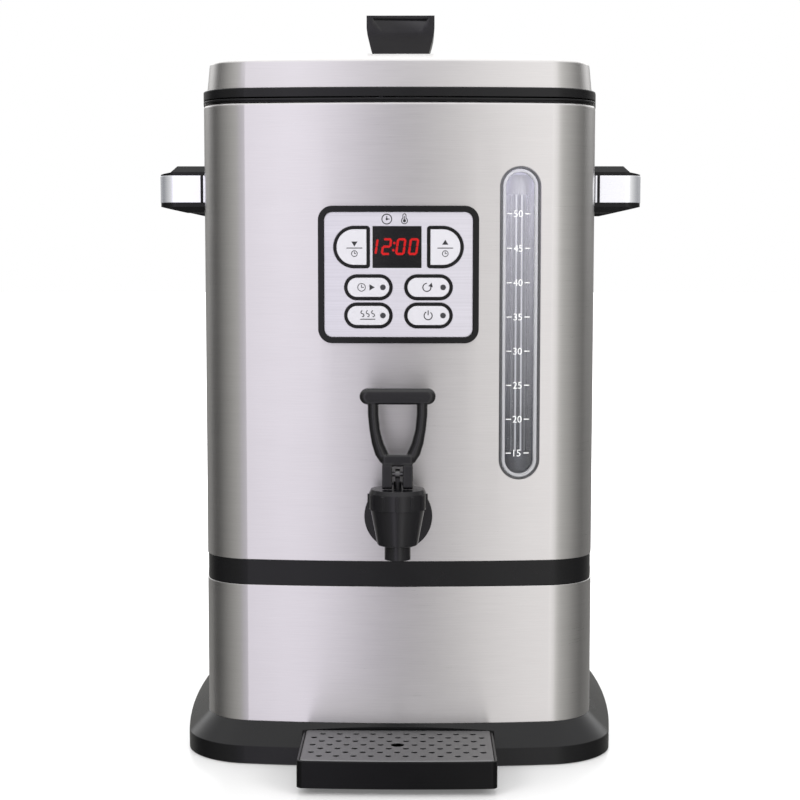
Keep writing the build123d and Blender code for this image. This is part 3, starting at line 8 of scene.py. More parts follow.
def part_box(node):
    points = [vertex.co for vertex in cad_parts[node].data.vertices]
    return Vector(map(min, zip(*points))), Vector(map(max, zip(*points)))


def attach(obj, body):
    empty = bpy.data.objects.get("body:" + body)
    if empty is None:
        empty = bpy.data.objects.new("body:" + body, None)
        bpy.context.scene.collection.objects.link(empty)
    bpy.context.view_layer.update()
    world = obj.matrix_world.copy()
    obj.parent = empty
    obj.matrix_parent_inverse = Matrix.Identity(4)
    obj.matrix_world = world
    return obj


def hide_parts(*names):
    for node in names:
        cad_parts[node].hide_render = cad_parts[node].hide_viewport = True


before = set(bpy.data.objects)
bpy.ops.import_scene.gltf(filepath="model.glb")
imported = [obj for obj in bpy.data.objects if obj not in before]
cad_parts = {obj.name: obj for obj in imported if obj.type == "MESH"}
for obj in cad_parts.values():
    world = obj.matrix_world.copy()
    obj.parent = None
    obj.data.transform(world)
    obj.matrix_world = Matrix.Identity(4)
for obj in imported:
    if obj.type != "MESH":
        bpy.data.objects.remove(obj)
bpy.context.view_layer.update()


# ---------------------------------------------------------------------------------------
# Base
# A moulded black plastic tray that the steel body drops into, closed below by a steel
# plate on four rubber feet. Four screws go up through the plate into moulded bosses.
# ---------------------------------------------------------------------------------------

def effect(name, inputs, outputs):
    """An empty node group with the named inputs and outputs, and its end nodes."""
    group = bpy.data.node_groups.new(name, "ShaderNodeTree")
    for label, kind, value in inputs:
        socket = group.interface.new_socket(label, in_out="INPUT", socket_type=kind)
        if value is not None:
            socket.default_value = value
    for label, kind in outputs:
        group.interface.new_socket(label, in_out="OUTPUT", socket_type=kind)
    start = group.nodes.new("NodeGroupInput")
    end = group.nodes.new("NodeGroupOutput")
    return group, start, end


def put(value, socket):
    """Wires a value to a socket, or writes it in as the socket's own."""
    if isinstance(value, bpy.types.NodeSocket):
        socket.id_data.links.new(value, socket)
    else:
        socket.default_value = value


def add(tree, kind, inputs=(), **settings):
    """A shader node with its settings, its plain inputs and its wired inputs."""
    node = tree.nodes.new("ShaderNode" + kind)
    for key, value in settings.items():
        setattr(node, key, value)
    for key, value in dict(inputs).items():
        put(value, node.inputs[key])
    return node


def maths(tree, operation, *values):
    """The result of a sum on plain or wired values."""
    return add(tree, "Math", enumerate(values), operation=operation).outputs["Value"]


def make_moulded_grain():
    """The fine spark-eroded grain of a moulding, and the slow change of its gloss."""
    group, start, end = effect(
        "moulded_grain",
        [("Vector", "NodeSocketVector", None), ("Grain", "NodeSocketFloat", 2600.0)],
        [("Height", "NodeSocketFloat"), ("Mottle", "NodeSocketFloat")])
    fine = add(group, "TexNoise", {"Vector": start.outputs["Vector"],
                                   "Scale": start.outputs["Grain"],
                                   "Detail": 2.0, "Roughness": 0.6})
    slow = add(group, "TexNoise", {"Vector": start.outputs["Vector"],
                                   "Scale": 38.0, "Detail": 4.0, "Roughness": 0.55})
    put(fine.outputs["Fac"], end.inputs["Height"])
    put(slow.outputs["Fac"], end.inputs["Mottle"])
    return group


def make_edge_wear():
    """A mask of the outer edges, broken up by noise, that stands both for the wear of hands
    and cloths and for a painted highlight along the edges, and the normal of the rounded
    edge."""
    group, start, end = effect(
        "edge_wear_and_highlight",
        [("Vector", "NodeSocketVector", None), ("Radius", "NodeSocketFloat", 0.0006)],
        [("Mask", "NodeSocketFloat"), ("Normal", "NodeSocketVector")])
    rounded = add(group, "Bevel", {"Radius": start.outputs["Radius"]}, samples=6)
    flat = add(group, "NewGeometry")
    turn = add(group, "VectorMath", {0: rounded.outputs["Normal"],
                                     1: flat.outputs["Normal"]}, operation="DOT_PRODUCT")
    edge = add(group, "MapRange", {"Value": turn.outputs["Value"], "From Min": 0.995,
                                   "From Max": 0.80, "To Min": 0.0, "To Max": 1.0})
    spots = add(group, "TexNoise", {"Vector": start.outputs["Vector"],
                                    "Scale": 160.0, "Detail": 5.0})
    broken = add(group, "MapRange", {"Value": spots.outputs["Fac"], "From Min": 0.35,
                                     "From Max": 0.65, "To Min": 0.25, "To Max": 1.0})
    put(maths(group, "MULTIPLY", edge.outputs["Result"], broken.outputs["Result"]),
        end.inputs["Mask"])
    put(rounded.outputs["Normal"], end.inputs["Normal"])
    return group


moulded_grain = make_moulded_grain()
edge_wear_and_highlight = make_edge_wear()


def new_material(name):
    """A new material's node tree, its Principled shader and its Object coordinates."""
    material = bpy.data.materials.new(name)
    material.use_nodes = True
    tree = material.node_tree
    place = tree.nodes.new("ShaderNodeTexCoord").outputs["Object"]
    return material, tree, tree.nodes["Principled BSDF"], place


def set_finish(shader, **values):
    """Puts in the shader's values by name, with spaces written as underscores."""
    for key, value in values.items():
        put(value, shader.inputs[key.replace("_", " ")])


def use(tree, group, **inputs):
    """One of this file's effects, placed in a material."""
    node = tree.nodes.new("ShaderNodeGroup")
    node.node_tree = group
    for key, value in inputs.items():
        put(value, node.inputs[key])
    return node.outputs


def blend_colour(tree, share, first, second, blend_type="MIX"):
    """The colour that goes from first to second as share goes from 0 to 1."""
    mix = tree.nodes.new("ShaderNodeMix")
    mix.data_type = "RGBA"
    mix.blend_type = blend_type
    for index, value in ((0, share), (6, first), (7, second)):
        plain = isinstance(value, (list, tuple))
        put((*value, 1) if plain else value, mix.inputs[index])
    return mix.outputs[2]


def spread(tree, value, low, high, low_in=0.3, high_in=0.7):
    """Maps a 0 to 1 pattern, which mostly lies between low_in and high_in."""
    return add(tree, "MapRange", {"Value": value, "From Min": low_in,
                                  "From Max": high_in, "To Min": low,
                                  "To Max": high}).outputs["Result"]


def bump(tree, shader, height, depth, normal=None):
    """Raises the surface by height times depth, in metres."""
    node = add(tree, "Bump", {"Height": height, "Distance": depth})
    if normal:
        put(normal, node.inputs["Normal"])
    put(node.outputs["Normal"], shader.inputs["Normal"])


def moulded_plastic(name, colour, edge_worn_and_lit, rough, grain=2600.0, depth=0.00002, shine=0.5):
    """A moulded plastic with a fine grain, uneven gloss and lighter edges, partly rubbed
    wear and partly a painted highlight.
    """
    material, tree, shader, place = new_material(name)
    texture = use(tree, moulded_grain, Vector=place, Grain=grain)
    edges = use(tree, edge_wear_and_highlight, Vector=place)
    tint = blend_colour(tree, texture["Mottle"], colour, [1.25 * c for c in colour])
    gloss = spread(tree, texture["Mottle"], rough - 0.04, rough + 0.05)
    polished = maths(tree, "MULTIPLY_ADD", edges["Mask"], -0.08, gloss)
    # edges take the lighter colour: partly rubbed wear, partly a painted highlight
    set_finish(shader, Base_Color=blend_colour(tree, edges["Mask"], tint, edge_worn_and_lit),
               Roughness=polished, Specular_IOR_Level=shine)
    bump(tree, shader, texture["Height"], depth, edges["Normal"])
    return material


def finish(material, *names):
    """Gives a material to CAD nodes."""
    for name in names:
        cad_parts[name].material_slots[0].material = material


black_plastic = moulded_plastic("black_plastic", (0.0045, 0.0045, 0.005),
                                (0.010, 0.010, 0.011), 0.24, shine=0.28)
finish(black_plastic, "base_shell")


def make_brushing():
    """Brushed lines: a fine pattern of strokes and a slower one of whole bands."""
    group, start, end = effect(
        "brushing",
        [("Vector", "NodeSocketVector", None),
         ("Stretch", "NodeSocketVector", (8.0, 8.0, 1500.0))],
        [("Strokes", "NodeSocketFloat"), ("Bands", "NodeSocketFloat")])
    fine = add(group, "VectorMath", {0: start.outputs["Vector"],
                                     1: start.outputs["Stretch"]}, operation="MULTIPLY")
    wide = add(group, "VectorMath", {0: fine.outputs["Vector"],
                                     1: (0.6, 0.6, 0.09)}, operation="MULTIPLY")
    strokes = add(group, "TexNoise", {"Vector": fine.outputs["Vector"], "Scale": 1.0,
                                      "Detail": 5.0, "Roughness": 0.72})
    bands = add(group, "TexNoise", {"Vector": wide.outputs["Vector"], "Scale": 1.0,
                                    "Detail": 3.0, "Roughness": 0.6})
    put(strokes.outputs["Fac"], end.inputs["Strokes"])
    put(bands.outputs["Fac"], end.inputs["Bands"])
    return group


brushing = make_brushing()

ACROSS = (42.0, 42.0, 2300.0)    # strokes lie level, round an upright wall
SCRATCHED = (900.0, 900.0, 900.0)    # short marks that lie every way


def brushed_metal(name, colour, rough, stretch=ACROSS, grip=0.0, tone=0.055):
    """Brushed metal: strokes in colour, gloss and relief, and faint cloth marks. With
    grip, highlights are drawn out across the strokes."""
    material, tree, shader, place = new_material(name)
    lines = use(tree, brushing, Vector=place, Stretch=stretch)
    marks = use(tree, moulded_grain, Vector=place, Grain=90.0)
    edges = use(tree, edge_wear_and_highlight, Vector=place)
    dark = [(1 - tone) * c for c in colour]
    light = [min(1.0, (1 + tone * 0.5) * c) for c in colour]
    tint = blend_colour(tree, spread(tree, lines["Strokes"], 0, 1), dark, light)
    band = blend_colour(tree, spread(tree, lines["Bands"], 0, 1),
                        (0.985, 0.985, 0.985), (1.0, 1.0, 1.0))
    gloss = spread(tree, lines["Strokes"], rough - 0.03, rough + 0.04)
    wiped = maths(tree, "MULTIPLY_ADD", marks["Mottle"], 0.05, gloss)
    set_finish(shader, Base_Color=blend_colour(tree, 1.0, tint, band, "MULTIPLY"),
               Roughness=wiped, Metallic=1.0, Anisotropic=grip,
               Anisotropic_Rotation=0.25)
    if grip:
        around = add(tree, "Tangent", direction_type="RADIAL", axis="Z")
        set_finish(shader, Tangent=around.outputs["Tangent"])
    bump(tree, shader, lines["Strokes"], 0.000006, edges["Normal"])
    return material


base_steel = brushed_metal("base_steel", (0.48, 0.48, 0.49), 0.34)
finish(base_steel, "base_plate", "heater_stand")

screw_steel = brushed_metal("screw_steel", (0.55, 0.55, 0.56), 0.28, SCRATCHED)
finish(screw_steel, "base_screws", "handle_screws", "knob_screw", "tap_spring")

rubber = moulded_plastic("rubber", (0.022, 0.022, 0.022), (0.05, 0.05, 0.05), 0.72,
                         grain=1800.0, depth=0.00005)
finish(rubber, "feet")


# ---------------------------------------------------------------------------------------
# Power inlet
# A black moulded socket for a detachable mains lead, low on the back of the body. It
# snaps into a cut in the lower steel skirt.
# ---------------------------------------------------------------------------------------

finish(black_plastic, "power_inlet")


# ---------------------------------------------------------------------------------------
# Heater
# A cast aluminium plate clamped under the tank, with a sheathed element pressed into
# it and a thermostat below. A sheet-metal drum stands them on the base.
# ---------------------------------------------------------------------------------------

def cast_metal(name, colour, rough):
    """Cast or blasted metal: a sandy surface that takes no clear reflection."""
    material, tree, shader, place = new_material(name)
    sand = use(tree, moulded_grain, Vector=place, Grain=700.0)
    tint = blend_colour(tree, sand["Mottle"], [0.8 * c for c in colour], colour)
    set_finish(shader, Base_Color=tint, Metallic=1.0,
               Roughness=spread(tree, sand["Mottle"], rough - 0.06, rough + 0.08))
    bump(tree, shader, sand["Height"], 0.00006)
    return material


cast_aluminium = cast_metal("cast_aluminium", (0.62, 0.62, 0.63), 0.45)
finish(cast_aluminium, "heater_plate")
element_steel = cast_metal("element_steel", (0.30, 0.27, 0.24), 0.38)
finish(element_steel, "heater_element", "thermostat")


# ---------------------------------------------------------------------------------------
# Tank
# A spun stainless steel tank that hangs by its lip inside the body, with silicone
# rings where the tap shank and the gauge ports go through its wall.
# ---------------------------------------------------------------------------------------

tank_steel = brushed_metal("tank_steel", (0.66, 0.66, 0.67), 0.24, grip=0.5)
finish(tank_steel, "tank")

silicone = moulded_plastic("silicone", (0.42, 0.42, 0.40), (0.55, 0.55, 0.53), 0.55)
finish(silicone, "tank_seals")


# ---------------------------------------------------------------------------------------
# Body shells
# Two bowed boxes of brushed stainless steel sheet, the strokes running level round
# them, with a black moulded band between and a black rim round the top edge.
# ---------------------------------------------------------------------------------------

shell_steel = brushed_metal("shell_steel", (0.68, 0.668, 0.662), 0.28, grip=0.75)
finish(shell_steel, "upper_shell", "lower_skirt")
finish(black_plastic, "mid_band", "top_rim")


# ---------------------------------------------------------------------------------------
# Control panel
# A black moulded frame with a brushed aluminium plate, six silver keys in black
# collars and a clock display behind a smoked window, on a circuit board.
# ---------------------------------------------------------------------------------------

panel_black = moulded_plastic("panel_black", (0.003, 0.003, 0.0033),
                              (0.010, 0.010, 0.011), 0.20, shine=0.28)
finish(panel_black, "panel_bezel")

panel_silver = brushed_metal("panel_silver", (0.86, 0.85, 0.90), 0.42,
                             stretch=(12.0, 12.0, 3000.0), tone=0.12)
finish(panel_silver, "panel_plate")


def silver_paint(name, colour, rough):
    """Silver paint on a moulded key: fine flakes under a thin clear coat."""
    material, tree, shader, place = new_material(name)
    flakes = use(tree, moulded_grain, Vector=place, Grain=5200.0)
    edges = use(tree, edge_wear_and_highlight, Vector=place)
    tint = blend_colour(tree, flakes["Height"], [0.9 * c for c in colour], colour)
    rubbed = blend_colour(tree, edges["Mask"], tint, [0.6 * c for c in colour])
    set_finish(shader, Base_Color=rubbed, Metallic=0.2,
               Roughness=spread(tree, flakes["Mottle"], rough - 0.04, rough + 0.04),
               Coat_Weight=0.25, Coat_Roughness=0.2)
    bump(tree, shader, flakes["Height"], 0.000008, edges["Normal"])
    return material


key_silver = silver_paint("key_silver", (0.70, 0.69, 0.73), 0.40)
KEYS = ("down", "up", "clock", "reheat", "warm", "power")
finish(key_silver, *["button_" + key for key in KEYS])

lens_dark = moulded_plastic("lens_dark", (0.03, 0.03, 0.035), (0.1, 0.1, 0.1), 0.16)
finish(lens_dark, *["lens_" + key for key in KEYS[2:]])

ACRYLIC = 1.49    # how far clear plastic bends light


def clear_moulding(name, colour, rough, depth=0.000015):
    """Clear or smoked plastic, with the slight waviness of its surface."""
    material, tree, shader, place = new_material(name)
    waves = use(tree, moulded_grain, Vector=place, Grain=60.0)
    tint = blend_colour(tree, waves["Mottle"], [0.97 * c for c in colour], colour)
    set_finish(shader, Base_Color=tint, Transmission_Weight=1.0, IOR=ACRYLIC,
               Roughness=spread(tree, waves["Mottle"], rough, rough + 0.03))
    bump(tree, shader, waves["Height"], depth)
    return material


window_smoked = clear_moulding("window_smoked", (0.10, 0.095, 0.10), 0.05)
finish(window_smoked, "display_window")
display_black = moulded_plastic("display_black", (0.006, 0.006, 0.007),
                                (0.01, 0.01, 0.01), 0.5, shine=0.2)
finish(display_black, "display_module")
board_green = moulded_plastic("board_green", (0.012, 0.12, 0.05), (0.1, 0.2, 0.1), 0.35)
finish(board_green, "control_board")


MM = 0.001
HOUSING_Y = sum(c.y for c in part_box("upper_shell")) / 2
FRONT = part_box("upper_shell")[0].y    # crown of the bowed front
BOW = 0.755                           # radius of that bow
INK = 0.12 * MM                       # thickness of a printed mark
INK_PROUD = 0.04 * MM                 # how much of it stands out of what it is printed on
PLATE_PROUD = 1.0 * MM                # silver plate in front of the steel
KEY_PROUD = 1.7 * MM                  # key caps in front of the steel


def only(piece=None):
    """Deselects everything, then selects one piece and makes it the active one."""
    if bpy.context.object and bpy.context.object.mode != "OBJECT":
        bpy.ops.object.mode_set(mode="OBJECT")
    bpy.ops.object.select_all(action="DESELECT")
    if piece:
        piece.select_set(True)
        bpy.context.view_layer.objects.active = piece


def apply_place(piece):
    """Puts a piece's place, turn and size into its mesh."""
    only(piece)
    bpy.ops.object.transform_apply(location=True, rotation=True, scale=True)


def edit(piece):
    """Applies a piece's place and starts to edit all of its mesh."""
    apply_place(piece)
    bpy.ops.object.mode_set(mode="EDIT")
    bpy.ops.mesh.select_all(action="SELECT")


def extrude(x, y, z):
    """Extrudes what is selected by x, y and z."""
    bpy.ops.mesh.extrude_region_move(TRANSFORM_OT_translate={"value": (x, y, z)})


def close_up():
    """Turns the faces of the edited mesh outwards and leaves edit mode."""
    bpy.ops.mesh.select_all(action="SELECT")
    bpy.ops.mesh.normals_make_consistent(inside=False)
    bpy.ops.object.mode_set(mode="OBJECT")


def shift(piece, x, y, z):
    """Moves the mesh of a piece."""
    piece.data.transform(Matrix.Translation((x, y, z)))


def join(pieces):
    """Joins pieces into the first one, with each one's place in its mesh."""
    for piece in pieces:
        apply_place(piece)
    for piece in pieces:
        piece.select_set(True)
    bpy.context.view_layer.objects.active = pieces[0]
    bpy.ops.object.join()
    return pieces[0]


def settle(piece, name, material, body, replaced=(), angle=35.0):
    """Names a finished piece, smooths it, paints it and fixes it to its body."""
    apply_place(piece)
    bpy.ops.object.shade_smooth_by_angle(angle=math.radians(angle))
    piece.name = name
    piece.data.name = name
    piece.data.materials.clear()
    piece.data.materials.append(material)
    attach(piece, body)
    if replaced:
        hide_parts(*replaced)


def pick(piece, kind, test):
    """In edit mode, selects the faces or vertices whose middle passes the test."""
    mesh = bmesh.from_edit_mesh(piece.data)
    bpy.ops.mesh.select_all(action="DESELECT")
    if kind == "FACE":
        for face in mesh.faces:
            face.select_set(bool(test(face.calc_center_median())))
    else:
        for vertex in mesh.verts:
            vertex.select_set(bool(test(vertex.co)))
    mesh.select_flush_mode()
    bmesh.update_edit_mesh(piece.data)


def flat_disc(sides, radius, turn=0.0, size=(1, 1)):
    """A flat upright disc or polygon in the plane y = 0, left in edit mode."""
    only()
    bpy.ops.mesh.primitive_circle_add(vertices=sides, radius=radius, fill_type="NGON",
                                      rotation=(math.pi / 2, turn, 0))
    disc = bpy.context.object
    disc.scale = (*size, 1)
    edit(disc)
    return disc


def lay(mark, x, z, turn):
    """Gives a flat mark the thickness of print, turns it clockwise and puts it in its
    place, in degrees and millimetres."""
    bpy.ops.mesh.select_all(action="SELECT")
    extrude(0, INK, 0)
    close_up()
    mark.rotation_euler = (0, math.radians(turn), 0)
    mark.location = (x * MM, 0, z * MM)
    return mark


def printed_ring(x, z, outer, width, keep=lambda angle: True, sides=40):
    """A printed ring or arc; keep says which angles of it are there, in degrees."""
    ring = flat_disc(sides, outer * MM)
    bpy.ops.mesh.inset(thickness=width * MM)
    bpy.ops.mesh.delete(type="FACE")
    pick(ring, "FACE", lambda c: not keep(math.degrees(math.atan2(c.z, c.x)) % 360))
    bpy.ops.mesh.delete(type="FACE")
    return lay(ring, x, z, 0.0)


def printed_dot(x, z, radius, sides=24, turn=0.0, size=(1, 1)):
    """A printed dot; with three sides it is a triangle that points up."""
    return lay(flat_disc(sides, radius * MM, size=size), x, z, turn)


def printed_bar(x, z, width, height):
    """A printed bar."""
    only()
    bpy.ops.mesh.primitive_plane_add(size=1.0, rotation=(math.pi / 2, 0, 0))
    bar = bpy.context.object
    bar.scale = (width * MM, height * MM, 1)
    edit(bar)
    return lay(bar, x, z, 0.0)


def print_on_front(marks, name, material, body, proud):
    """Lays marks made about the plane y = 0 on the bowed front, proud of the steel."""
    sheet = join(marks)
    x = (sheet.bound_box[0][0] + sheet.bound_box[6][0]) / 2
    drop = BOW - math.sqrt(BOW ** 2 - x ** 2)
    shift(sheet, -x, 0, 0)
    sheet.data.transform(Matrix.Rotation(math.asin(x / BOW), 4, "Z"))
    shift(sheet, x, FRONT - proud + drop - INK_PROUD, 0)
    settle(sheet, name, material, body)


def ink(name, colour, rough=0.5, glow=0.0):
    """Screen-printed ink: slightly uneven in colour and gloss. With glow, the ink also
    glows in its own colour, a painted light that brightens white print."""
    material = moulded_plastic(name, colour, [1.2 * c for c in colour], rough,
                               grain=5000.0, depth=0.000004)
    set_finish(material.node_tree.nodes["Principled BSDF"],
               Emission_Color=(*colour, 1.0), Emission_Strength=glow)
    return material


ink_black = ink("ink_black", (0.006, 0.006, 0.007))
ink_grey = ink("ink_grey", (0.02, 0.02, 0.023))

# clock and thermometer over the display
CLOCK_X, CLOCK_Z = -7.2, 342.0
BULB_X, BULB_Z = 3.7, 341.0
WALL, WALL_L, WALL_OUT = 0.46, 1.9, 0.97    # the walls of the thermometer's stem
print_on_front([
    printed_ring(CLOCK_X, CLOCK_Z, 3.3, 0.58),
    printed_dot(CLOCK_X, CLOCK_Z, 0.7),
    printed_bar(CLOCK_X, CLOCK_Z + 0.9, 0.5, 2.0),
    printed_bar(CLOCK_X + 0.8, CLOCK_Z, 1.7, 0.5),
    printed_ring(BULB_X, BULB_Z, 2.1, 0.5, keep=lambda a: not 62 < a < 118),
    printed_dot(BULB_X, BULB_Z, 0.95),
    printed_bar(BULB_X, BULB_Z + 1.6, 0.42, 2.6),
    printed_bar(BULB_X - WALL_OUT, BULB_Z + 2.5, WALL, WALL_L),
    printed_bar(BULB_X + WALL_OUT, BULB_Z + 2.5, WALL, WALL_L),
    printed_ring(BULB_X, BULB_Z + 3.3, 1.2, WALL, keep=lambda a: a < 180, sides=24),
], "panel_marks", ink_black, "housing", PLATE_PROUD)

LINE, BOLD_LINE = 0.55, 0.62    # rules and waves on the keys, rings and strokes


def small_clock(x, z, outer):
    """A small clock face, for the keys that set the time."""
    ring, hand = 0.45, 0.42
    return [printed_ring(x, z, outer, ring),
            printed_bar(x, z + outer * 0.28, hand, outer * 0.7),
            printed_bar(x + outer * 0.26, z, outer * 0.6, hand)]


def down_marks(x, z, rise=3.0, turn=180.0):
    """Time back: an arrowhead that points down, a rule and a small clock face."""
    return [printed_dot(x, z + rise, 2.25, sides=3, turn=turn, size=(1.0, 0.9)),
            printed_bar(x, z, 9.8, LINE),
            *small_clock(x, z - 3.4, 2.0)]


def up_marks(x, z):
    """Time on: the same with an arrowhead that points up."""
    return down_marks(x, z, rise=3.1, turn=0.0)


def start_marks(x, z):
    """Timed start: a clock face and a start triangle."""
    return [*small_clock(x, z, 2.6),
            printed_dot(x + 6.0, z, 2.2, sides=3, turn=90.0)]


def reheat_marks(x, z):
    """Reheat: a turning arrow."""
    return [printed_ring(x, z, 2.8, BOLD_LINE, keep=lambda a: not 15 < a < 95),
            printed_dot(x + 2.5, z + 1.2, 1.7, sides=3, turn=15.0)]


def heat_wave(x, z):
    """One rising wave of heat: two half rings that swing left and right."""
    outer = 1.2
    mid = outer - LINE / 2
    return [
        printed_ring(x, z + mid, outer, LINE, keep=lambda a: 90 < a < 270, sides=20),
        printed_ring(x, z - mid, outer, LINE, keep=lambda a: not 90 < a < 270, sides=20)]


def warm_marks(x, z):
    """Keep warm: three waves of heat over a rule."""
    apart = 3.3
    return [*heat_wave(x - apart, z), *heat_wave(x, z), *heat_wave(x + apart, z),
            printed_bar(x, z - 3.4, 9.4, LINE)]


def power_marks(x, z):
    """Power: a broken ring and a stroke."""
    return [printed_ring(x, z, 2.8, BOLD_LINE, keep=lambda a: not 55 < a < 125),
            printed_bar(x, z + 1.8, BOLD_LINE, 3.0)]


# the marks of each key, and where they are on the front
KEY_MARKS = (("down", down_marks, -27.2, 324.2), ("up", up_marks, 28.9, 324.2),
             ("clock", start_marks, -22.8, 300.0), ("reheat", reheat_marks, 17.6, 300.0),
             ("warm", warm_marks, -19.0, 283.7), ("power", power_marks, 18.4, 282.5))
for key, make_marks, x, z in KEY_MARKS:
    print_on_front(make_marks(x, z), "marks_" + key, ink_grey, "key_" + key,
                   KEY_PROUD)


def lit_red(name, strength):
    """A lit segment: red, and a little uneven from its spark."""
    material, tree, shader, place = new_material(name)
    spark = use(tree, moulded_grain, Vector=place, Grain=900.0)
    light = blend_colour(tree, spark["Mottle"], (1.0, 0.0, 0.0), (1.0, 0.003, 0.0))
    body = blend_colour(tree, spark["Height"], (0.30, 0.0, 0.0), (0.25, 0.01, 0.01))
    set_finish(shader, Base_Color=body, Roughness=0.6, Emission_Color=light,
               Emission_Strength=strength)
    return material


SEGMENTS = {"1": "bc", "2": "abged", "0": "abcdef"}
LEAN = 8.0                                    # slant of the digits, in degrees
SLANT = math.tan(math.radians(LEAN))
DIGIT_H, DIGIT_W, STROKE = 9.0, 4.5, 1.4
COLON_X, COLON_RISE, COLON_R = -2.9, 2.2, 0.8
DISPLAY_Z = 325.1 * MM
DIGIT_GAP = 0.16 * MM                         # from the display block to the digits' front


def segment(x, z, upright):
    """One segment of a digit: a bar with pointed ends."""
    bar = flat_disc(6, STROKE * 0.58 * MM, math.pi / 6)
    reach = (DIGIT_H / 2 if upright else DIGIT_W) - STROKE * 1.1
    for sign in (-1, 1):
        pick(bar, "VERT", lambda v: v.x * sign > 0.0001 * MM)
        bpy.ops.transform.translate(value=(sign * reach / 2 * MM, 0, 0))
    return lay(bar, x + z * SLANT, z, 90.0 + LEAN if upright else 0.0)


def clock_digit(number, x):
    """The lit segments of one digit, about its own middle height."""
    half, side = DIGIT_H / 2, DIGIT_W / 2
    places = {"a": (0, half, False), "b": (side, half / 2, True),
              "c": (side, -half / 2, True), "d": (0, -half, False),
              "e": (-side, -half / 2, True), "f": (-side, half / 2, True),
              "g": (0, 0, False)}
    bars = []
    for letter in SEGMENTS[number]:
        dx, dz, upright = places[letter]
        bars.append(segment(x + dx, dz, upright))
    return bars


# clock digits, just behind the smoked window
clock_red = lit_red("clock_red", 7.0)
digits = []
for number, x in (("1", -15.8), ("2", -7.4), ("0", 1.4), ("0", 9.3)):
    digits += clock_digit(number, x)
for rise in (-COLON_RISE, COLON_RISE):
    digits.append(printed_dot(COLON_X + rise * SLANT, rise, COLON_R, sides=16))
clock_digits = join(digits)
shift(clock_digits, 0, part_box("display_module")[0].y - DIGIT_GAP, DISPLAY_Z)
settle(clock_digits, "clock_digits", clock_red, "housing")


# ---------------------------------------------------------------------------------------
# Level gauge
# A long clear cover in a slot of the body, with the cup marks printed on its window.
# Behind it a glass tube stands in a grey channel, fed through ports from the tank.
# ---------------------------------------------------------------------------------------

gauge_low, gauge_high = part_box("gauge_cover")
GAUGE_X = (gauge_low.x + gauge_high.x) / 2
GAUGE_Z = (gauge_low.z + gauge_high.z) / 2
GAUGE_L = gauge_high.z - gauge_low.z
GAUGE_W = gauge_high.x - gauge_low.x
GAUGE_TURN = math.asin(GAUGE_X / BOW)
GAUGE_FRONT = FRONT + BOW - math.sqrt(BOW ** 2 - GAUGE_X ** 2)


def grey_channel(name, top, bottom, glow):
    """Grey moulding, painted light at the top and darker downwards, a painted shade, with
    some random mottle. It also glows in its own colour, a painted glow."""
    material, tree, shader, place = new_material(name)
    texture = use(tree, moulded_grain, Vector=place, Grain=2200.0)
    height = add(tree, "SeparateXYZ", {"Vector": place}).outputs["Z"]
    share = spread(tree, height, 1.0, 0.0, GAUGE_Z - 0.42 * GAUGE_L,
                   GAUGE_Z + 0.40 * GAUGE_L)
    # painted light at the top fading to painted shade at the bottom, with random mottle
    painted_shade_and_mottle = maths(tree, "MULTIPLY_ADD", texture["Mottle"], 0.12, share)
    tint = blend_colour(tree, painted_shade_and_mottle, top, bottom)
    set_finish(shader, Base_Color=tint, Emission_Color=tint, Emission_Strength=glow,
               Roughness=spread(tree, texture["Mottle"], 0.34, 0.46))
    bump(tree, shader, texture["Height"], 0.00002)
    return material


# channel and ports: painted light above, painted shade below, and a painted glow
channel_grey = grey_channel("channel_grey", (0.74, 0.73, 0.80), (0.055, 0.06, 0.075), 0.30)
finish(channel_grey, "gauge_channel")
port_grey = grey_channel("port_grey", (0.74, 0.73, 0.80), (0.05, 0.055, 0.07), 0.22)
finish(port_grey, "gauge_ports")


def streaked_glass(name, colour, painted_glints):
    """Clear glass tube with painted highlights: streaks down its front that glow where the
    surface faces a given way. Each streak is the x of the normal there, half its width in
    x, and its strength."""
    material, tree, shader, place = new_material(name)
    ripple = use(tree, moulded_grain, Vector=place, Grain=20.0)
    facing = add(tree, "TexCoord").outputs["Normal"]
    turned = add(tree, "VectorRotate", {"Vector": facing, "Angle": -GAUGE_TURN},
                 rotation_type="Z_AXIS").outputs["Vector"]
    across = add(tree, "SeparateXYZ", {"Vector": turned}).outputs
    front = maths(tree, "LESS_THAN", across["Y"], 0.0)
    total = 0.0
    for where, width, strength in painted_glints:
        inside = maths(tree, "COMPARE", across["X"], where, width)
        total = maths(tree, "ADD", total, maths(tree, "MULTIPLY", inside, strength))
    lit = maths(tree, "MULTIPLY", total, front)
    uneven = maths(tree, "MULTIPLY", lit, spread(tree, ripple["Mottle"], 0.8, 1.1))
    set_finish(shader, Transmission_Weight=1.0, IOR=1.10, Roughness=0.0,
               Base_Color=blend_colour(tree, ripple["Mottle"], colour, (1.0, 1.0, 1.0)),
               Emission_Color=(0.95, 0.95, 1.0, 1.0), Emission_Strength=uneven)
    return material


# painted highlights: glowing streaks where the tube's front faces a given way
tube_glass = streaked_glass("tube_glass", (0.97, 0.98, 0.98),
                            ((-0.86, 0.05, 0.07), (0.16, 0.09, 0.26)))
finish(tube_glass, "gauge_tube")


def milky_moulding(name, colour, rough, clear):
    """Thick clear plastic in the given colour, a painted tone, with its edges whitened by a
    painted highlight.
    """
    material, tree, shader, place = new_material(name)
    waves = use(tree, moulded_grain, Vector=place, Grain=60.0)
    edges = use(tree, edge_wear_and_highlight, Vector=place)
    # edges are painted white, a painted highlight
    tint = blend_colour(tree, edges["Mask"], colour, (1.0, 1.0, 1.0))
    set_finish(shader, Base_Color=tint, Transmission_Weight=clear, IOR=ACRYLIC,
               Roughness=spread(tree, waves["Mottle"], rough, rough + 0.05))
    bump(tree, shader, waves["Height"], 0.000012, edges["Normal"])
    return material


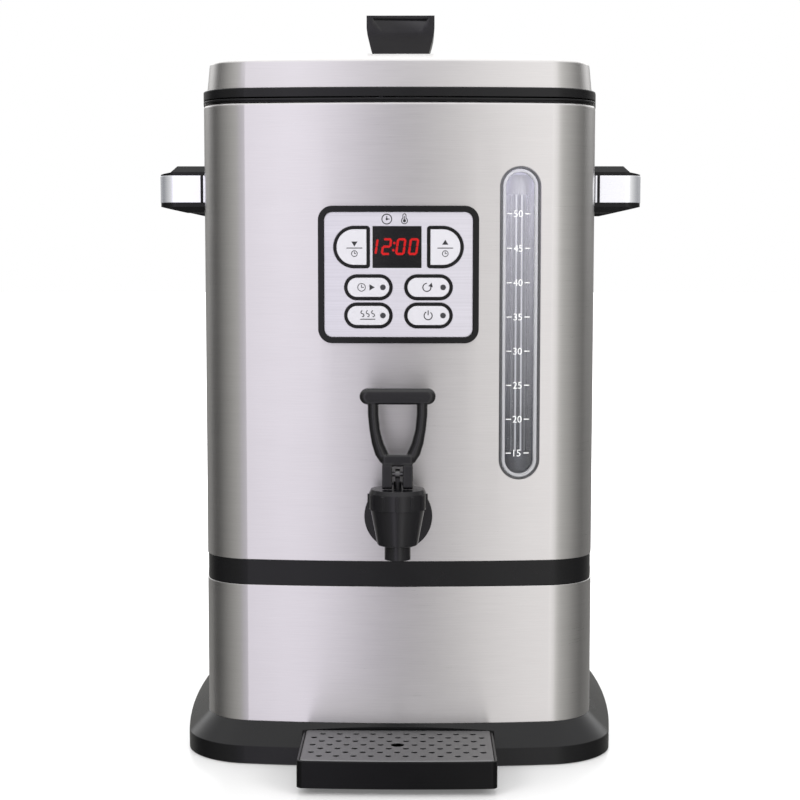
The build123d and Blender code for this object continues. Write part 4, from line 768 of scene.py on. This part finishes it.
def turn_to_gauge(piece):
    """Turns a piece made about the gauge's middle to the bow of the front there."""
    piece.data.transform(Matrix.Rotation(GAUGE_TURN, 4, "Z"))
    shift(piece, GAUGE_X, GAUGE_FRONT, GAUGE_Z)


def stadium(width, length, y):
    """A flat upright shape with round ends, which is left in edit mode."""
    shape = flat_disc(64, width / 2)
    for sign in (-1, 1):
        pick(shape, "VERT", lambda v: v.z * sign > 0.01 * MM)
        bpy.ops.transform.translate(value=(0, 0, sign * (length - width) / 2))
    bpy.ops.mesh.select_all(action="SELECT")
    bpy.ops.transform.translate(value=(0, y, 0))
    return shape


def soften_edges(piece, width, segments, angle):
    """Rounds the edges of a piece that turn by more than the angle."""
    only(piece)
    soft = piece.modifiers.new("soft_edges", "BEVEL")
    soft.width = width
    soft.segments = segments
    soft.limit_method = "ANGLE"
    soft.angle_limit = math.radians(angle)
    bpy.ops.object.modifier_apply(modifier="soft_edges")


def thicken_back(piece, depth, soft_width):
    """Extrudes the flat shape backwards and rounds its edges."""
    bpy.ops.mesh.select_all(action="SELECT")
    extrude(0, depth, 0)
    close_up()
    soften_edges(piece, soft_width, 4, 50)


COVER_DEPTH = 5.3 * MM                           # of the flange and rim, into the slot
FLANGE_IN, FLANGE_PROUD = 1.35 * MM, 0.15 * MM
RIM_OUT, RIM_IN, RIM_PROUD = 1.5 * MM, 3.6 * MM, 0.45 * MM
PANE_OUT, PANE_SINK, PANE_T = RIM_IN - 0.2 * MM, 3.0 * MM, 1.6 * MM


def cover_ring(name, outer, inner, proud, soft_width, material, replaced=()):
    """One ring of the cover, between two distances in from its outline."""
    ring = stadium(GAUGE_W - 2 * outer, GAUGE_L - 2 * outer, -proud)
    bpy.ops.mesh.inset(thickness=inner - outer)
    bpy.ops.mesh.delete(type="FACE")
    thicken_back(ring, proud + COVER_DEPTH, soft_width)
    turn_to_gauge(ring)
    settle(ring, name, material, "housing", replaced)


# the cover's flange, its raised rim and the sunk window inside that
# the flange's dark tone is painted shade where the slot's edge is shaded
flange_painted_shade = milky_moulding("flange_painted_shade", (0.20, 0.20, 0.21), 0.10, 0.70)
cover_ring("level_flange", 0.0, FLANGE_IN, FLANGE_PROUD, 0.35 * MM, flange_painted_shade,
           ("gauge_cover",))
# the rim's pale tone is painted light
rim_painted_light = milky_moulding("rim_painted_light", (0.86, 0.86, 0.89), 0.12, 0.55)
cover_ring("level_rim", RIM_OUT, RIM_IN, RIM_PROUD, 0.85 * MM, rim_painted_light)
clear_plastic = clear_moulding("clear_plastic", (0.97, 0.97, 0.985), 0.02, depth=0.000004)
window = stadium(GAUGE_W - 2 * PANE_OUT, GAUGE_L - 2 * PANE_OUT, PANE_SINK)
thicken_back(window, PANE_T, 0.1 * MM)
turn_to_gauge(window)
settle(window, "level_window", clear_plastic, "housing")


def lettering(text, height, x, z):
    """Printed figures of one height, centred on x and z, in millimetres."""
    only()
    bpy.ops.object.text_add(rotation=(math.pi / 2, 0, 0))
    label = bpy.context.object
    label.data.body = text
    label.data.extrude = INK / 2
    label.data.resolution_u = 3
    bpy.ops.object.convert(target="MESH")
    label = bpy.context.object
    apply_place(label)
    low, high = Vector(label.bound_box[0]), Vector(label.bound_box[6])
    size = height * MM / (high.z - low.z)
    shift(label, *(-(low + high) / 2))
    label.data.transform(Matrix.Scale(size, 4, (1, 0, 0)))
    label.data.transform(Matrix.Scale(size, 4, (0, 0, 1)))
    shift(label, x * MM, 0, z * MM)
    return label


# cup marks in fives, printed on the sunk window: each number stands between two dashes
# the white print glows, a painted light
white_ink = ink("white_ink", (0.80, 0.80, 0.80), glow=0.35)
CUPS = (15, 20, 25, 30, 35, 40, 45, 50)
NUMBER_X, NUMBER_H = -0.9, 4.3
FIRST_MARK_Z, MARK_STEP = 196.1, 21.34
DASH_X, DASH_W, DASH_H = (-6.4, 5.0), 3.4, 0.62
SCALE_PROUD = 0.08 * MM
marks = []
for i, cups in enumerate(CUPS):
    z = FIRST_MARK_Z - GAUGE_Z / MM + i * MARK_STEP
    marks.append(lettering(str(cups), NUMBER_H, NUMBER_X, z))
    for x in DASH_X:
        marks.append(printed_bar(x, z, DASH_W, DASH_H))
gauge_scale = join(marks)
shift(gauge_scale, 0, PANE_SINK - SCALE_PROUD, 0)
turn_to_gauge(gauge_scale)
settle(gauge_scale, "gauge_scale", white_ink, "housing")


# ---------------------------------------------------------------------------------------
# Tap
# A near-black moulded tap screwed through the body. Its loop lever tips forward on a
# steel pin and lifts a silicone cup off its seat against a spring.
# ---------------------------------------------------------------------------------------

tap_plastic = moulded_plastic("tap_plastic", (0.0065, 0.0062, 0.0075),
                              (0.026, 0.026, 0.028), 0.24, shine=0.38)
finish(tap_plastic, "tap_body", "tap_nut", "tap_bonnet", "escutcheon")
finish(silicone, "tap_cup")
pin_steel = brushed_metal("pin_steel", (0.16, 0.16, 0.165), 0.35, SCRATCHED)
finish(pin_steel, "tap_pin")


def capped_stem(name, black, steel, change_z):
    """A black moulded stem on a steel eye that shows above change_z."""
    material, tree, shader, place = new_material(name)
    texture = use(tree, moulded_grain, Vector=place, Grain=2600.0)
    height = add(tree, "SeparateXYZ", {"Vector": place}).outputs["Z"]
    bare = maths(tree, "GREATER_THAN", height, change_z)
    tint = blend_colour(tree, texture["Mottle"], black, [1.3 * c for c in black])
    set_finish(shader, Base_Color=blend_colour(tree, bare, tint, steel), Metallic=bare,
               Roughness=spread(tree, texture["Mottle"], 0.30, 0.42))
    bump(tree, shader, texture["Height"], 0.00002)
    return material


pin_low, pin_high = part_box("tap_pin")
PIN_Z = (pin_low.z + pin_high.z) / 2
TAP_Y = (pin_low.y + pin_high.y) / 2
EYE_LOW = PIN_Z - 2.2 * MM    # where the moulded stem ends and its steel eye begins
stem_black = capped_stem("stem_black", (0.008, 0.008, 0.009), (0.14, 0.14, 0.14), EYE_LOW)
finish(stem_black, "tap_stem")


def round_block(size, place, width, segments=3):
    """A block with rounded edges, in metres."""
    only()
    bpy.ops.mesh.primitive_cube_add(size=1.0, location=place)
    block = bpy.context.object
    block.scale = size
    edit(block)
    bpy.ops.mesh.bevel(offset=width, segments=segments, affect="EDGES")
    bpy.ops.object.mode_set(mode="OBJECT")
    return block


# middle of each arm of the loop, from the bar down: x, z, half width, half depth
ARM = ((14.8, 234.0, 3.3, 3.7), (14.7, 224.0, 3.3, 3.7), (13.8, 215.0, 3.3, 3.7),
       (12.0, 206.8, 3.7, 3.8), (9.3, 199.8, 4.3, 3.8), (6.0, 195.0, 4.4, 3.7))


def lever_arm(side):
    """One arm of the loop: a round bar drawn down along its curve."""
    only()
    x, z, wide, deep = ARM[0]
    bpy.ops.mesh.primitive_circle_add(vertices=20, radius=1.0, fill_type="NGON")
    arm = bpy.context.object
    arm.scale = (wide * MM, deep * MM, 1)
    arm.location = (side * x * MM, TAP_Y, z * MM)
    edit(arm)
    for (x0, z0, wide0, deep0), (x1, z1, wide1, deep1) in zip(ARM, ARM[1:]):
        extrude(side * (x1 - x0) * MM, 0, (z1 - z0) * MM)
        bpy.ops.transform.resize(value=(wide1 / wide0, deep1 / deep0, 1),
                                 center_override=(side * x1 * MM, TAP_Y, z1 * MM))
    close_up()
    return arm


HEEL_R, HEEL_Y = 8.6 * MM, TAP_Y - 4.0 * MM
CHEEK_X, CHEEK_W = 6.2 * MM, 6.0 * MM
CHEEK_FRONT, CHEEK_BACK = TAP_Y - 8.2 * MM, TAP_Y + 4.7 * MM
CHEEK_TOP, CHEEK_RISE = PIN_Z + 3.0 * MM, 3.2 * MM


def yoke_cheek(side):
    """One cheek of the yoke: a round heel cut flat in front, behind and above, and
    carried up into the block."""
    only()
    bpy.ops.mesh.primitive_cylinder_add(vertices=64, radius=HEEL_R, depth=CHEEK_W,
                                        location=(side * CHEEK_X, HEEL_Y, PIN_Z),
                                        rotation=(0, math.pi / 2, 0))
    cheek = bpy.context.object
    edit(cheek)
    for place, way in (((0, CHEEK_FRONT, 0), (0, -1, 0)), ((0, CHEEK_BACK, 0), (0, 1, 0)),
                       ((0, 0, CHEEK_TOP), (0, 0, 1))):
        bpy.ops.mesh.select_all(action="SELECT")
        bpy.ops.mesh.bisect(plane_co=place, plane_no=way, use_fill=True,
                            clear_outer=True)
    pick(cheek, "VERT", lambda v: v.z > CHEEK_TOP - 0.01 * MM)
    extrude(0, 0, CHEEK_RISE)
    close_up()
    return cheek


def fuse(piece, voxel, rounds):
    """Melts joined blocks into one moulding and softens its edges."""
    only(piece)
    melt = piece.modifiers.new("melt", "REMESH")
    melt.mode = "VOXEL"
    melt.voxel_size = voxel
    bpy.ops.object.modifier_apply(modifier="melt")
    soften = piece.modifiers.new("soften", "SMOOTH")
    soften.factor = 0.5
    soften.iterations = rounds
    bpy.ops.object.modifier_apply(modifier="soften")


BAR_D, BAR_L, BAR_SOFT, BAR_Z = 9.8 * MM, 45.8 * MM, 3.0 * MM, 235.3 * MM
BLOCK, BLOCK_Z, BLOCK_SOFT = (18.6 * MM, 8.4 * MM, 7.0 * MM), 196.6 * MM, 1.2 * MM
bar = stadium(BAR_D, BAR_L, -BAR_D / 2)
thicken_back(bar, BAR_D, BAR_SOFT)
bar.rotation_euler = (0, math.pi / 2, 0)
bar.location = (0, TAP_Y, BAR_Z)
lever = join([bar, lever_arm(-1), lever_arm(1),
              round_block(BLOCK, (0, TAP_Y, BLOCK_Z), BLOCK_SOFT),
              yoke_cheek(-1), yoke_cheek(1)])
fuse(lever, 0.35 * MM, 4)
lever_plastic = moulded_plastic("lever_plastic", (0.0045, 0.0043, 0.0052),
                                (0.026, 0.026, 0.028), 0.20, shine=0.50)
settle(lever, "lever_loop", lever_plastic, "lever", ("tap_lever",), 60.0)


# ---------------------------------------------------------------------------------------
# Handles
# Two black moulded loops screwed to the sides of the body, each with a bent strip of
# steel round the outside of its grip.
# ---------------------------------------------------------------------------------------

finish(black_plastic, "handle_left", "handle_right")
trim_steel = brushed_metal("trim_steel", (0.97, 0.975, 1.0), 0.26, tone=0.02)
# the strips glow faintly blue-white, a painted light
set_finish(trim_steel.node_tree.nodes["Principled BSDF"],
           Emission_Color=(0.84, 0.88, 1.0, 1.0), Emission_Strength=0.18)
finish(trim_steel, "trim_left", "trim_right")


# the grip's moulded end band, which laps over each strip next to the body
BAND_X, BAND_W, BAND_T = 131.3 * MM, 1.9 * MM, 1.2 * MM
BAND_SINK, BAND_OVER, BAND_SOFT = 0.35 * MM, 0.6 * MM, 0.3 * MM
for side, end in ((-1, "left"), (1, "right")):
    low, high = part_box("trim_" + end)
    band = round_block((BAND_W, BAND_T, high.z - low.z + BAND_OVER),
                       (side * BAND_X, low.y + BAND_SINK, (low.z + high.z) / 2), BAND_SOFT)
    settle(band, "end_band_" + end, black_plastic, "housing")


# ---------------------------------------------------------------------------------------
# Percolator
# A spun aluminium basket on a pump tube, with a loose pierced spreader that closes
# the top of the basket.
# ---------------------------------------------------------------------------------------

finish(cast_aluminium, "pump_tube", "basket", "spreader")


# ---------------------------------------------------------------------------------------
# Lid
# A pressed steel cover over a steel liner, in a black moulded rim with a silicone
# gasket, and a black moulded knob screwed on from below.
# ---------------------------------------------------------------------------------------

lid_steel = brushed_metal("lid_steel", (0.68, 0.668, 0.662), 0.30, grip=0.6)
finish(lid_steel, "lid_cover")
finish(tank_steel, "lid_liner")
finish(black_plastic, "lid_rim")
finish(silicone, "lid_gasket")

knob_low, knob_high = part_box("knob")
KNOB_W = knob_high.x - knob_low.x
KNOB_TOP = knob_high.z
KNOB_LOW = knob_low.z + 0.1 * MM
KNOB_CORNER = 6.5 * MM
LEDGE = 1.5 * MM    # top plate of the knob, over the finger scoops
SCOOP_DEEP, SCOOP_TALL, SCOOP_WIDE = 3.2 * MM, 9.6 * MM, 38.0 * MM
SCOOP_FOOT = 0.644    # width of a scoop's foot, as a share of its width above
# width of the knob's barrel at levels below its top: drop, share of the full width
BARREL = ((8.4, 1.0), (12.4, 0.978), (16.4, 0.937), (22.5, 0.862), (29.4, 0.78))


def make_knob():
    """The knob's barrel, which narrows to its foot."""
    height = KNOB_TOP - KNOB_LOW
    knob = round_block((KNOB_W, KNOB_W, height),
                       (0, HOUSING_Y, (KNOB_TOP + KNOB_LOW) / 2), 0.02 * MM, 1)
    bpy.ops.object.mode_set(mode="EDIT")
    mesh = bmesh.from_edit_mesh(knob.data)
    bpy.ops.mesh.select_all(action="DESELECT")
    for edge in mesh.edges:
        along = edge.verts[0].co - edge.verts[1].co
        edge.select_set(abs(along.z) > height / 2)
    bmesh.update_edit_mesh(knob.data)
    bpy.ops.mesh.bevel(offset=KNOB_CORNER, segments=7, affect="EDGES",
                       clamp_overlap=False)
    for drop, share in BARREL[:-1]:
        bpy.ops.mesh.select_all(action="SELECT")
        bpy.ops.mesh.bisect(plane_co=(0, 0, KNOB_TOP - drop * MM), plane_no=(0, 0, 1))
    for drop, share in BARREL[1:]:
        z = KNOB_TOP - drop * MM
        if drop == BARREL[-1][0]:
            pick(knob, "VERT", lambda v: v.z < KNOB_LOW + 0.5 * MM)
        else:
            pick(knob, "VERT", lambda v: abs(v.z - z) < 0.05 * MM)
        bpy.ops.transform.resize(value=(share, share, 1),
                                 center_override=(0, HOUSING_Y, z))
    bpy.ops.object.mode_set(mode="OBJECT")
    return knob


def cut(piece, tool):
    """Cuts the tool's shape out of a piece."""
    only(piece)
    carve = piece.modifiers.new("carve", "BOOLEAN")
    carve.operation = "DIFFERENCE"
    carve.object = tool
    carve.solver = "EXACT"
    bpy.ops.object.modifier_apply(modifier="carve")
    bpy.data.objects.remove(tool)


def knob_scoop(side):
    """A wedge that cuts one finger scoop: wide above, narrow and shallow below."""
    only()
    face_y = HOUSING_Y + side * KNOB_W / 2
    foot_z = KNOB_TOP - LEDGE - SCOOP_TALL
    bpy.ops.mesh.primitive_cube_add(size=1.0, location=(0, face_y, foot_z + SCOOP_TALL / 2))
    wedge = bpy.context.object
    wedge.scale = (SCOOP_WIDE, SCOOP_DEEP * 2, SCOOP_TALL)
    edit(wedge)
    pick(wedge, "VERT", lambda v: v.z < foot_z + 0.1 * MM)
    bpy.ops.transform.resize(value=(SCOOP_FOOT, 1, 1), center_override=(0, face_y, foot_z))
    pick(wedge, "VERT", lambda v: v.z < foot_z + 0.1 * MM and (v.y - face_y) * side < 0)
    bpy.ops.transform.translate(value=(0, side * SCOOP_DEEP, 0))
    bpy.ops.object.mode_set(mode="OBJECT")
    return wedge


knob = make_knob()
for side in (-1, 1):
    cut(knob, knob_scoop(side))
soften_edges(knob, 1.0 * MM, 3, 28)
knob_black = moulded_plastic("knob_black", (0.0042, 0.0040, 0.0050),
                             (0.016, 0.016, 0.018), 0.20, shine=0.62)
settle(knob, "lid_knob", knob_black, "lid", ("knob",), 28.0)


# ---------------------------------------------------------------------------------------
# Drip tray
# A black moulded pan whose tongue slides under the base, with a loose pierced steel
# grid dropped into its rim.
# ---------------------------------------------------------------------------------------

tray_black = moulded_plastic("tray_black", (0.0022, 0.0022, 0.0025),
                             (0.009, 0.009, 0.010), 0.22, shine=0.16)
finish(tray_black, "tray_pan")

NEAR = 0.02    # the grid's own holes mirror each other within this distance


def pale_in_mirrors(material, strength):
    """A painted reflection: the grid's top glows pale to the brushed wall that mirrors it
    from afar, where it would make a dark wedge.
    """
    tree = material.node_tree
    path = add(tree, "LightPath").outputs
    normal = add(tree, "NewGeometry").outputs["True Normal"]
    rise = add(tree, "SeparateXYZ", {"Vector": normal}).outputs["Z"]
    from_far = maths(tree, "GREATER_THAN", path["Ray Length"], NEAR)
    on_top = maths(tree, "MULTIPLY", maths(tree, "GREATER_THAN", rise, 0.5), from_far)
    mirrored = maths(tree, "MULTIPLY", path["Is Glossy Ray"], on_top)
    set_finish(tree.nodes["Principled BSDF"], Emission_Color=(1.0, 0.98, 1.0, 1.0),
               Emission_Strength=maths(tree, "MULTIPLY", mirrored, strength))


grid_steel = brushed_metal("grid_steel", (0.24, 0.24, 0.245), 0.40, SCRATCHED, tone=0.04)
finish(grid_steel, "tray_grid")
# painted reflection: the grid glows pale where the steel mirrors it
pale_in_mirrors(grid_steel, 0.42)


# ---------------------------------------------------------------------------------------
# Studio
# A pale floor that keeps the urn's shadow, a white surround with darker bays for the
# steel to mirror, soft lamps and the camera.
# ---------------------------------------------------------------------------------------

def make_floor():
    """A wide pale floor, which keeps the shadow and stays out of metal's reflections. Its
    glow to the camera is weaker near the middle, which leaves a painted shade round the
    urn.
    """
    only()
    bpy.ops.mesh.primitive_circle_add(vertices=96, radius=14.0, fill_type="NGON")
    floor = bpy.context.object
    floor.name = "floor"
    floor.visible_glossy = False
    material, tree, shader, place = new_material("floor_white")
    speckle = add(tree, "TexNoise", {"Vector": place, "Scale": 3.0, "Detail": 3.0})
    tint = blend_colour(tree, speckle.outputs["Fac"], (0.80, 0.80, 0.80),
                        (0.84, 0.84, 0.84))
    seen = add(tree, "LightPath").outputs["Is Camera Ray"]
    away = add(tree, "VectorMath", {0: place}, operation="LENGTH").outputs["Value"]
    # less glow near the middle darkens the floor round the urn, a painted shade
    glow = spread(tree, away, 0.14, 1.0, 0.3, 1.2)
    set_finish(shader, Base_Color=tint, Roughness=0.25, Emission_Color=(1, 1, 1, 1),
               Emission_Strength=maths(tree, "MULTIPLY", seen, glow))
    floor.data.materials.append(material)


# brightness of the surround by its direction in plan, in degrees from straight ahead
BAYS = ((-180, 0.30), (-130, 0.26), (-114, 0.11), (-101, 0.10), (-92, 0.13),
        (-77, 0.24), (-60, 0.36), (-47, 0.46), (-38, 0.51), (-30, 0.59), (-25, 0.80),
        (-20.5, 1.16), (-17, 1.50), (-11, 1.27), (-8.4, 1.06), (-6.5, 0.90),
        (-4.5, 0.72), (-2, 0.49), (0.5, 0.42), (3, 0.52), (5.5, 0.74), (8.5, 0.97),
        (13, 1.12), (18, 1.18), (24, 1.52), (29, 1.15), (34, 0.80), (45, 0.58),
        (61, 0.46), (82, 0.29), (103, 0.17), (180, 0.30))
BRIGHTEST = 2.0
WARM_GREY, LAVENDER, PALE = (1.01, 1.0, 0.965), (0.99, 0.95, 1.05), (1.01, 0.99, 0.99)
# brightness by height: 0.5 is eye level, 0 straight down and 1 straight up
LEVELS = ((0.30, 0.84), (0.44, 0.92), (0.47, 0.97), (0.50, 0.98), (0.54, 1.10),
          (0.60, 1.02))
HIGHEST = 1.15
BEHIND = 1.75      # the upper wall behind the urn
OVERHEAD = 1.5     # the ceiling
ON_MATT = 0.75     # what matt surfaces get from all round


def bay_colour(way_round):
    """Tint of the surround: lavender on the left, pale on the right, warm far round."""
    if abs(way_round) > 33:
        return WARM_GREY
    return LAVENDER if way_round < 2 else PALE


def ramp(tree, share, stops):
    """The colour at a share of the way along a row of stops."""
    node = tree.nodes.new("ShaderNodeValToRGB")
    row = node.color_ramp.elements
    for i, (where, colour) in enumerate(stops):
        if i < 2:
            stop = row[i]
            stop.position = where
        else:
            stop = row.new(where)
        stop.color = (*colour, 1)
    put(share, node.inputs["Fac"])
    return node.outputs["Color"]


def make_world():
    """White to the camera and through glass. In reflections it has a bright bay on
    each side of straight ahead, darker walls beside them, a bright upper wall behind
    the urn and a ceiling."""
    world = bpy.data.worlds.new("studio")
    bpy.context.scene.world = world
    world.use_nodes = True
    tree = world.node_tree
    way = add(tree, "TexCoord").outputs["Generated"]
    parts = add(tree, "SeparateXYZ", {"Vector": way}).outputs
    angle = maths(tree, "ARCTAN2", parts["X"], maths(tree, "MULTIPLY", parts["Y"], -1.0))
    around = ramp(tree, spread(tree, angle, 0.0, 1.0, -math.pi, math.pi),
                  [((way_round + 180) / 360,
                    [level / BRIGHTEST * c for c in bay_colour(way_round)])
                   for way_round, level in BAYS])
    upright = ramp(tree, spread(tree, parts["Z"], 0.0, 1.0, -1.0, 1.0),
                   [(where, [level / HIGHEST] * 3) for where, level in LEVELS])
    bays = blend_colour(tree, 1.0, around, [BRIGHTEST * HIGHEST] * 3, "MULTIPLY")
    bays = blend_colour(tree, 1.0, bays, upright, "MULTIPLY")
    behind = maths(tree, "MULTIPLY", spread(tree, parts["Y"], 0.0, 1.0, 0.2, 0.7),
                   spread(tree, parts["Z"], 0.0, 1.0, 0.10, 0.24))
    bays = blend_colour(tree, behind, bays, [BEHIND] * 3)
    over = blend_colour(tree, spread(tree, parts["Z"], 0.0, 1.0, 0.35, 0.8), bays,
                        [OVERHEAD] * 3)
    rays = add(tree, "LightPath").outputs
    lit = blend_colour(tree, rays["Is Glossy Ray"], [ON_MATT] * 3, over)
    plain = maths(tree, "MAXIMUM", rays["Is Camera Ray"], rays["Is Transmission Ray"])
    put(blend_colour(tree, plain, lit, (1.0, 1.0, 1.0)),
        tree.nodes["Background"].inputs["Color"])


def soft_lamp(name, place, aim, size, watts):
    """A square soft lamp that points at aim. Neither camera nor metal sees it."""
    data = bpy.data.lights.new(name, "AREA")
    data.shape = "SQUARE"
    data.size = size
    data.energy = watts
    lamp = bpy.data.objects.new(name, data)
    bpy.context.scene.collection.objects.link(lamp)
    lamp.location = place
    lamp.rotation_euler = (Vector(aim) - Vector(place)).to_track_quat("-Z", "Y").to_euler()
    lamp.visible_camera = False
    lamp.visible_glossy = False


make_floor()
make_world()
MIDDLE = (0.0, 0.03, 0.24)
soft_lamp("key_lamp", (-1.3, -1.5, 1.3), MIDDLE, 1.0, 18)
soft_lamp("fill_lamp", (1.4, -1.3, 1.0), MIDDLE, 1.0, 13)
soft_lamp("top_lamp", (0.0, 0.2, 1.9), MIDDLE, 1.2, 16)
soft_lamp("back_lamp", (0.4, 1.8, 1.1), MIDDLE, 1.2, 10)

LOOKS_DOWN, ROLL, LOOKS_LEFT = 4.864, -0.03, 0.660    # in degrees
camera = bpy.data.objects.new("camera", bpy.data.cameras.new("camera"))
bpy.context.scene.collection.objects.link(camera)
camera.data.sensor_width = 36.0
camera.data.lens = 75.87
camera.location = (0.013, -1.147, 0.319)
camera.rotation_euler = [math.radians(a) for a in (90 - LOOKS_DOWN, ROLL, LOOKS_LEFT)]
bpy.context.scene.camera = camera
bpy.context.scene.view_settings.view_transform = "Standard"
